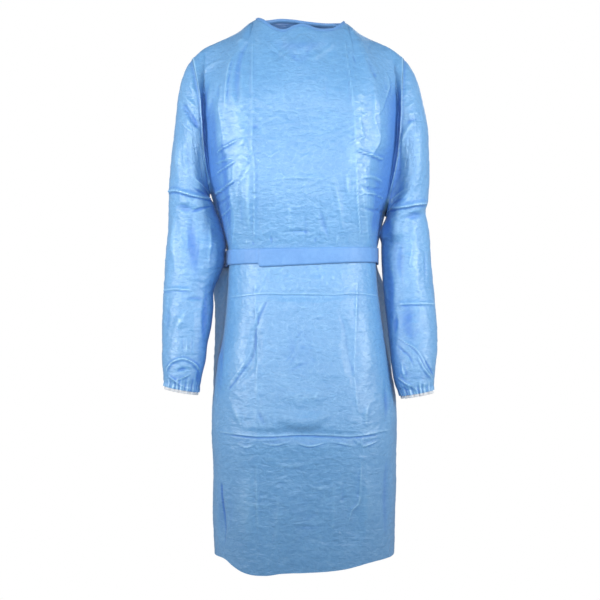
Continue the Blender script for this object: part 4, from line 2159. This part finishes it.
def hull_line(points: Numbers) -> Numbers:
    """The line of a tape pulled tight round these points, seen from above, counterclockwise.

    Args:
        points: The (x, y) points.

    Returns:
        The line's corners.
    """
    ordered = sorted(set(map(tuple, np.round(points, 2))))
    halves = []
    for run in (ordered, ordered[::-1]):
        half: list[tuple[float, float]] = []
        for point in run:
            while len(half) > 1:
                (ax, ay), (bx, by) = half[-2], half[-1]
                if (bx - ax) * (point[1] - ay) - (by - ay) * (point[0] - ax) > 0:
                    break
                half.pop()
            half.append(point)
        halves.append(half[:-1])
    return np.array(halves[0] + halves[1])


@dataclass
class NeckTab:
    """The closing tab at the back of the neck."""

    thickness: float = 0.9
    flat_size: Pair = (0.055, 0.05)

    def build(self, tab: ClothGrid, finishes: Finishes) -> bpy.types.Object:
        """The tab's object.

        Args:
            tab: The surface that it lies on.
            finishes: The gown's finishes.

        Returns:
            The dressed piece.
        """
        outer = tab.raised(self.thickness).points
        inner = tab.points
        profiles = np.concatenate([outer, inner[:, ::-1]], axis=1)
        piece = swept("gown_neck_tab", profiles, False, finishes.elastic)
        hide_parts("neck_tab")
        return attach(piece, BODY)


@dataclass
class Studio:
    """The floor, the lights and the camera.

    Attributes:
        floor_z: The floor's height in metres; the gown hangs above it at a wearer's height.
        floor_radius: The round floor's radius.
        side_light: How bright the room is at its two sides.
        high_light: How bright it is high up.
        low_light: How bright it is low down.
    """

    floor_z: float = -1.47
    floor_radius: float = 1.25
    side_light: float = 0.50
    high_light: float = 0.22
    low_light: float = 0.06

    def build(self) -> None:
        """Adds the floor, lights, surroundings and camera."""
        build = bmesh.new()
        bmesh.ops.create_circle(build, cap_ends=True, segments=96, radius=self.floor_radius)
        mesh = bpy.data.meshes.new("studio_floor")
        build.to_mesh(mesh)
        build.free()
        mesh.materials.append(FloorFinish().material())
        floor = bpy.data.objects.new("studio_floor", mesh)
        floor.location.z = self.floor_z
        bpy.context.scene.collection.objects.link(floor)
        self.light("key_light", (-0.05, -2.60, 0.05), (0.0, 0.0, -0.31), (3.0, 0.6), 6.8, 48.0)
        for side in Side:
            place, target = (side.value * 2.1, -1.55, 0.10), (side.value * 0.15, 0.0, -0.34)
            self.light("side_light_" + side.label, place, target, (0.8, 0.8), 4.9, 52.0)
        self.light("back_light", (0.3, 2.2, 0.6), (0.0, 0.0, -0.5), (1.8, 1.4), 20.0)
        self.surroundings()
        self.camera()

    def light(
        self, name: str, place: Place, target: Place, size: Pair, power: float, spread: float = 180.0
    ) -> None:
        """Adds a rectangular soft light.

        Args:
            name: Its name.
            place: Where it stands.
            target: What it points at.
            size: Its width and height in metres.
            power: Its power in watts.
            spread: The angle of its beam in degrees.
        """
        data = bpy.data.lights.new(name, "AREA")
        data.shape = "RECTANGLE"
        data.size, data.size_y = size
        data.energy = power
        data.spread = math.radians(spread)
        lamp = bpy.data.objects.new(name, data)
        lamp.location = place
        lamp.rotation_euler = (Vector(target) - Vector(place)).to_track_quat("-Z", "Y").to_euler()
        bpy.context.scene.collection.objects.link(lamp)

    def surroundings(self) -> None:
        """A plain white room that shows white, and lights the gown mostly from its two sides."""
        world = bpy.data.worlds.new("studio_room")
        bpy.context.scene.world = world
        nodes = Nodes(world)
        nodes.shader.inputs["Color"].default_value = (1.0, 1.0, 1.0, 1.0)
        nodes.shader.inputs["Strength"].default_value = 1.0
        way = nodes.add("TexCoord").outputs["Generated"]
        parts = nodes.add("SeparateXYZ", None, Vector=way).outputs
        sideways = nodes.spread(nodes.maths("ABSOLUTE", parts["X"]), 0.35, 0.95, 0.0, self.side_light)
        upwards = nodes.spread(parts["Z"], -0.9, 0.7, self.low_light, self.high_light)
        strength = nodes.plus(sideways, upwards)
        lit = nodes.add("Background", None, Color=(0.93, 0.96, 1.0, 1.0), Strength=strength)
        seen = nodes.add("LightPath").outputs["Is Camera Ray"]
        mix = nodes.add("MixShader", None, i0=seen, i1=lit.outputs[0], i2=nodes.shader.outputs[0])
        nodes.feed(nodes.tree.nodes["World Output"].inputs["Surface"], mix.outputs[0])

    def camera(self) -> None:
        """The photograph's camera, level with the gown's middle."""
        data = bpy.data.cameras.new("camera")
        data.sensor_width = 36.0
        data.lens = 85.7
        camera = bpy.data.objects.new("camera", data)
        camera.location = (-0.004, -3.0, -0.546)
        camera.rotation_euler = (math.radians(90), 0.0, 0.0)
        bpy.context.scene.collection.objects.link(camera)
        bpy.context.scene.camera = camera
        bpy.context.scene.view_settings.view_transform = "Standard"


RIGHT_RINGS = (
    Ring(242, -57, 194, -328, 1, 58),
    Ring(251, -82, 195.5, -333, 2, 60),
    Ring(258, -118, 194, -339, 3, 62),
    Ring(265, -175, 190, -347, 4, 63),
    Ring(273, -235, 184, -357, 5, 63),
    Ring(277, -290, 179.5, -371, 6, 62),
    Ring(279, -345, 173, -388, 6, 60),
    Ring(281, -392, 166.5, -408, 5, 58),
    Ring(284, -436, 162.5, -438, -4, 57),
    Ring(286, -470, 163, -470, -8, 54),
    Ring(287, -500, 173, -499, -11, 51),
    Ring(289, -530, 184, -526, -15, 49),
    Ring(290, -570, 184.5, -563, -23, 48),
    Ring(290, -610, 188.5, -602, -31, 47),
    Ring(289, -645, 196, -638, -38, 45),
    Ring(288, -675, 199, -670, -44, 42),
    Ring(285, -700, 206, -700, -49, 39),
    Ring(284, -723, 213, -736, -54, 34),
)
LEFT_RINGS = (
    Ring(228, -60, 184, -364, 1, 58),
    Ring(242, -88, 187, -367, 2, 60),
    Ring(254, -130, 188, -371, 3, 62),
    Ring(263, -180, 187.5, -376, 4, 63),
    Ring(267, -240, 184, -383, 5, 63),
    Ring(267, -295, 179, -392, 6, 61),
    Ring(265, -337, 172, -404, 6, 59),
    Ring(260, -360, 168.5, -418, 5, 58),
    Ring(266, -402, 167, -436, 3, 57),
    Ring(270, -450, 167, -464, -2, 55),
    Ring(273, -500, 168.5, -497, -8, 53),
    Ring(277, -546, 171.5, -540, -16, 51),
    Ring(281, -600, 177, -592, -27, 49),
    Ring(280, -645, 181.5, -640, -40, 46),
    Ring(275, -680, 185, -680, -50, 43),
    Ring(272, -708, 190, -714, -56, 38),
    Ring(270, -731, 202, -743, -60, 34),
)


def main() -> None:
    """Builds the gown's pieces in order and reports each one."""
    logging.basicConfig(level=logging.INFO, format="%(name)s: %(message)s")
    finishes = Finishes(
        NonwovenFinish(
            "gown_cloth",
            colour=(0.113, 0.300, 0.558),
            deep_colour=(0.094, 0.268, 0.520),
            fold_colour=(0.040, 0.172, 0.50),
            worn_colour=(0.29, 0.53, 0.76),
        ).material(),
        TapeFinish("belt_tape", (0.116, 0.285, 0.580), (0.100, 0.255, 0.545)).material(),
        ElasticFinish("white_elastic", (0.86, 0.88, 0.9), (0.6, 0.64, 0.7)).material(),
    )
    form = GownForm()
    front_maker, back_maker = FrontPanel(form), BackPanels(form)
    front = front_maker.build()
    right, left, tab = back_maker.build()
    sleeves = {
        Side.RIGHT: Sleeve(
            form, Side.RIGHT, RIGHT_RINGS,
            RIGHT_SLEEVE_CREASES, RIGHT_SLEEVE_BACK_CREASES, RIGHT_SLEEVE_SHADES,
        ),
        Side.LEFT: Sleeve(
            form, Side.LEFT, LEFT_RINGS,
            LEFT_SLEEVE_CREASES, LEFT_SLEEVE_BACK_CREASES, LEFT_SLEEVE_SHADES,
            closeness=9.5,
        ),
    }
    pieces = [front_maker.dress(front, finishes)]
    pieces += back_maker.dress(right, left, finishes)
    for side, maker in sleeves.items():
        grid = maker.build(front, right if side is Side.RIGHT else left)
        pieces.append(maker.dress(grid, finishes))
        pieces.append(Cuff(side).build(grid, finishes))
    for node, panel, flat in (
        ("neck_binding_front", front, (0.014, 0.26)),
        ("neck_binding_right", right, (0.014, 0.19)),
        ("neck_binding_left", left, (0.014, 0.19)),
    ):
        pieces.append(NeckBinding(node, flat).build(panel, finishes))
    pieces += Belt(form).build((front, right, left), finishes)
    pieces.append(NeckTab().build(tab, finishes))
    Studio().build()
    for piece in pieces:
        LOG.info("%s: %d faces", piece.name, len(piece.data.polygons))


if __name__ == "__main__":
    main()
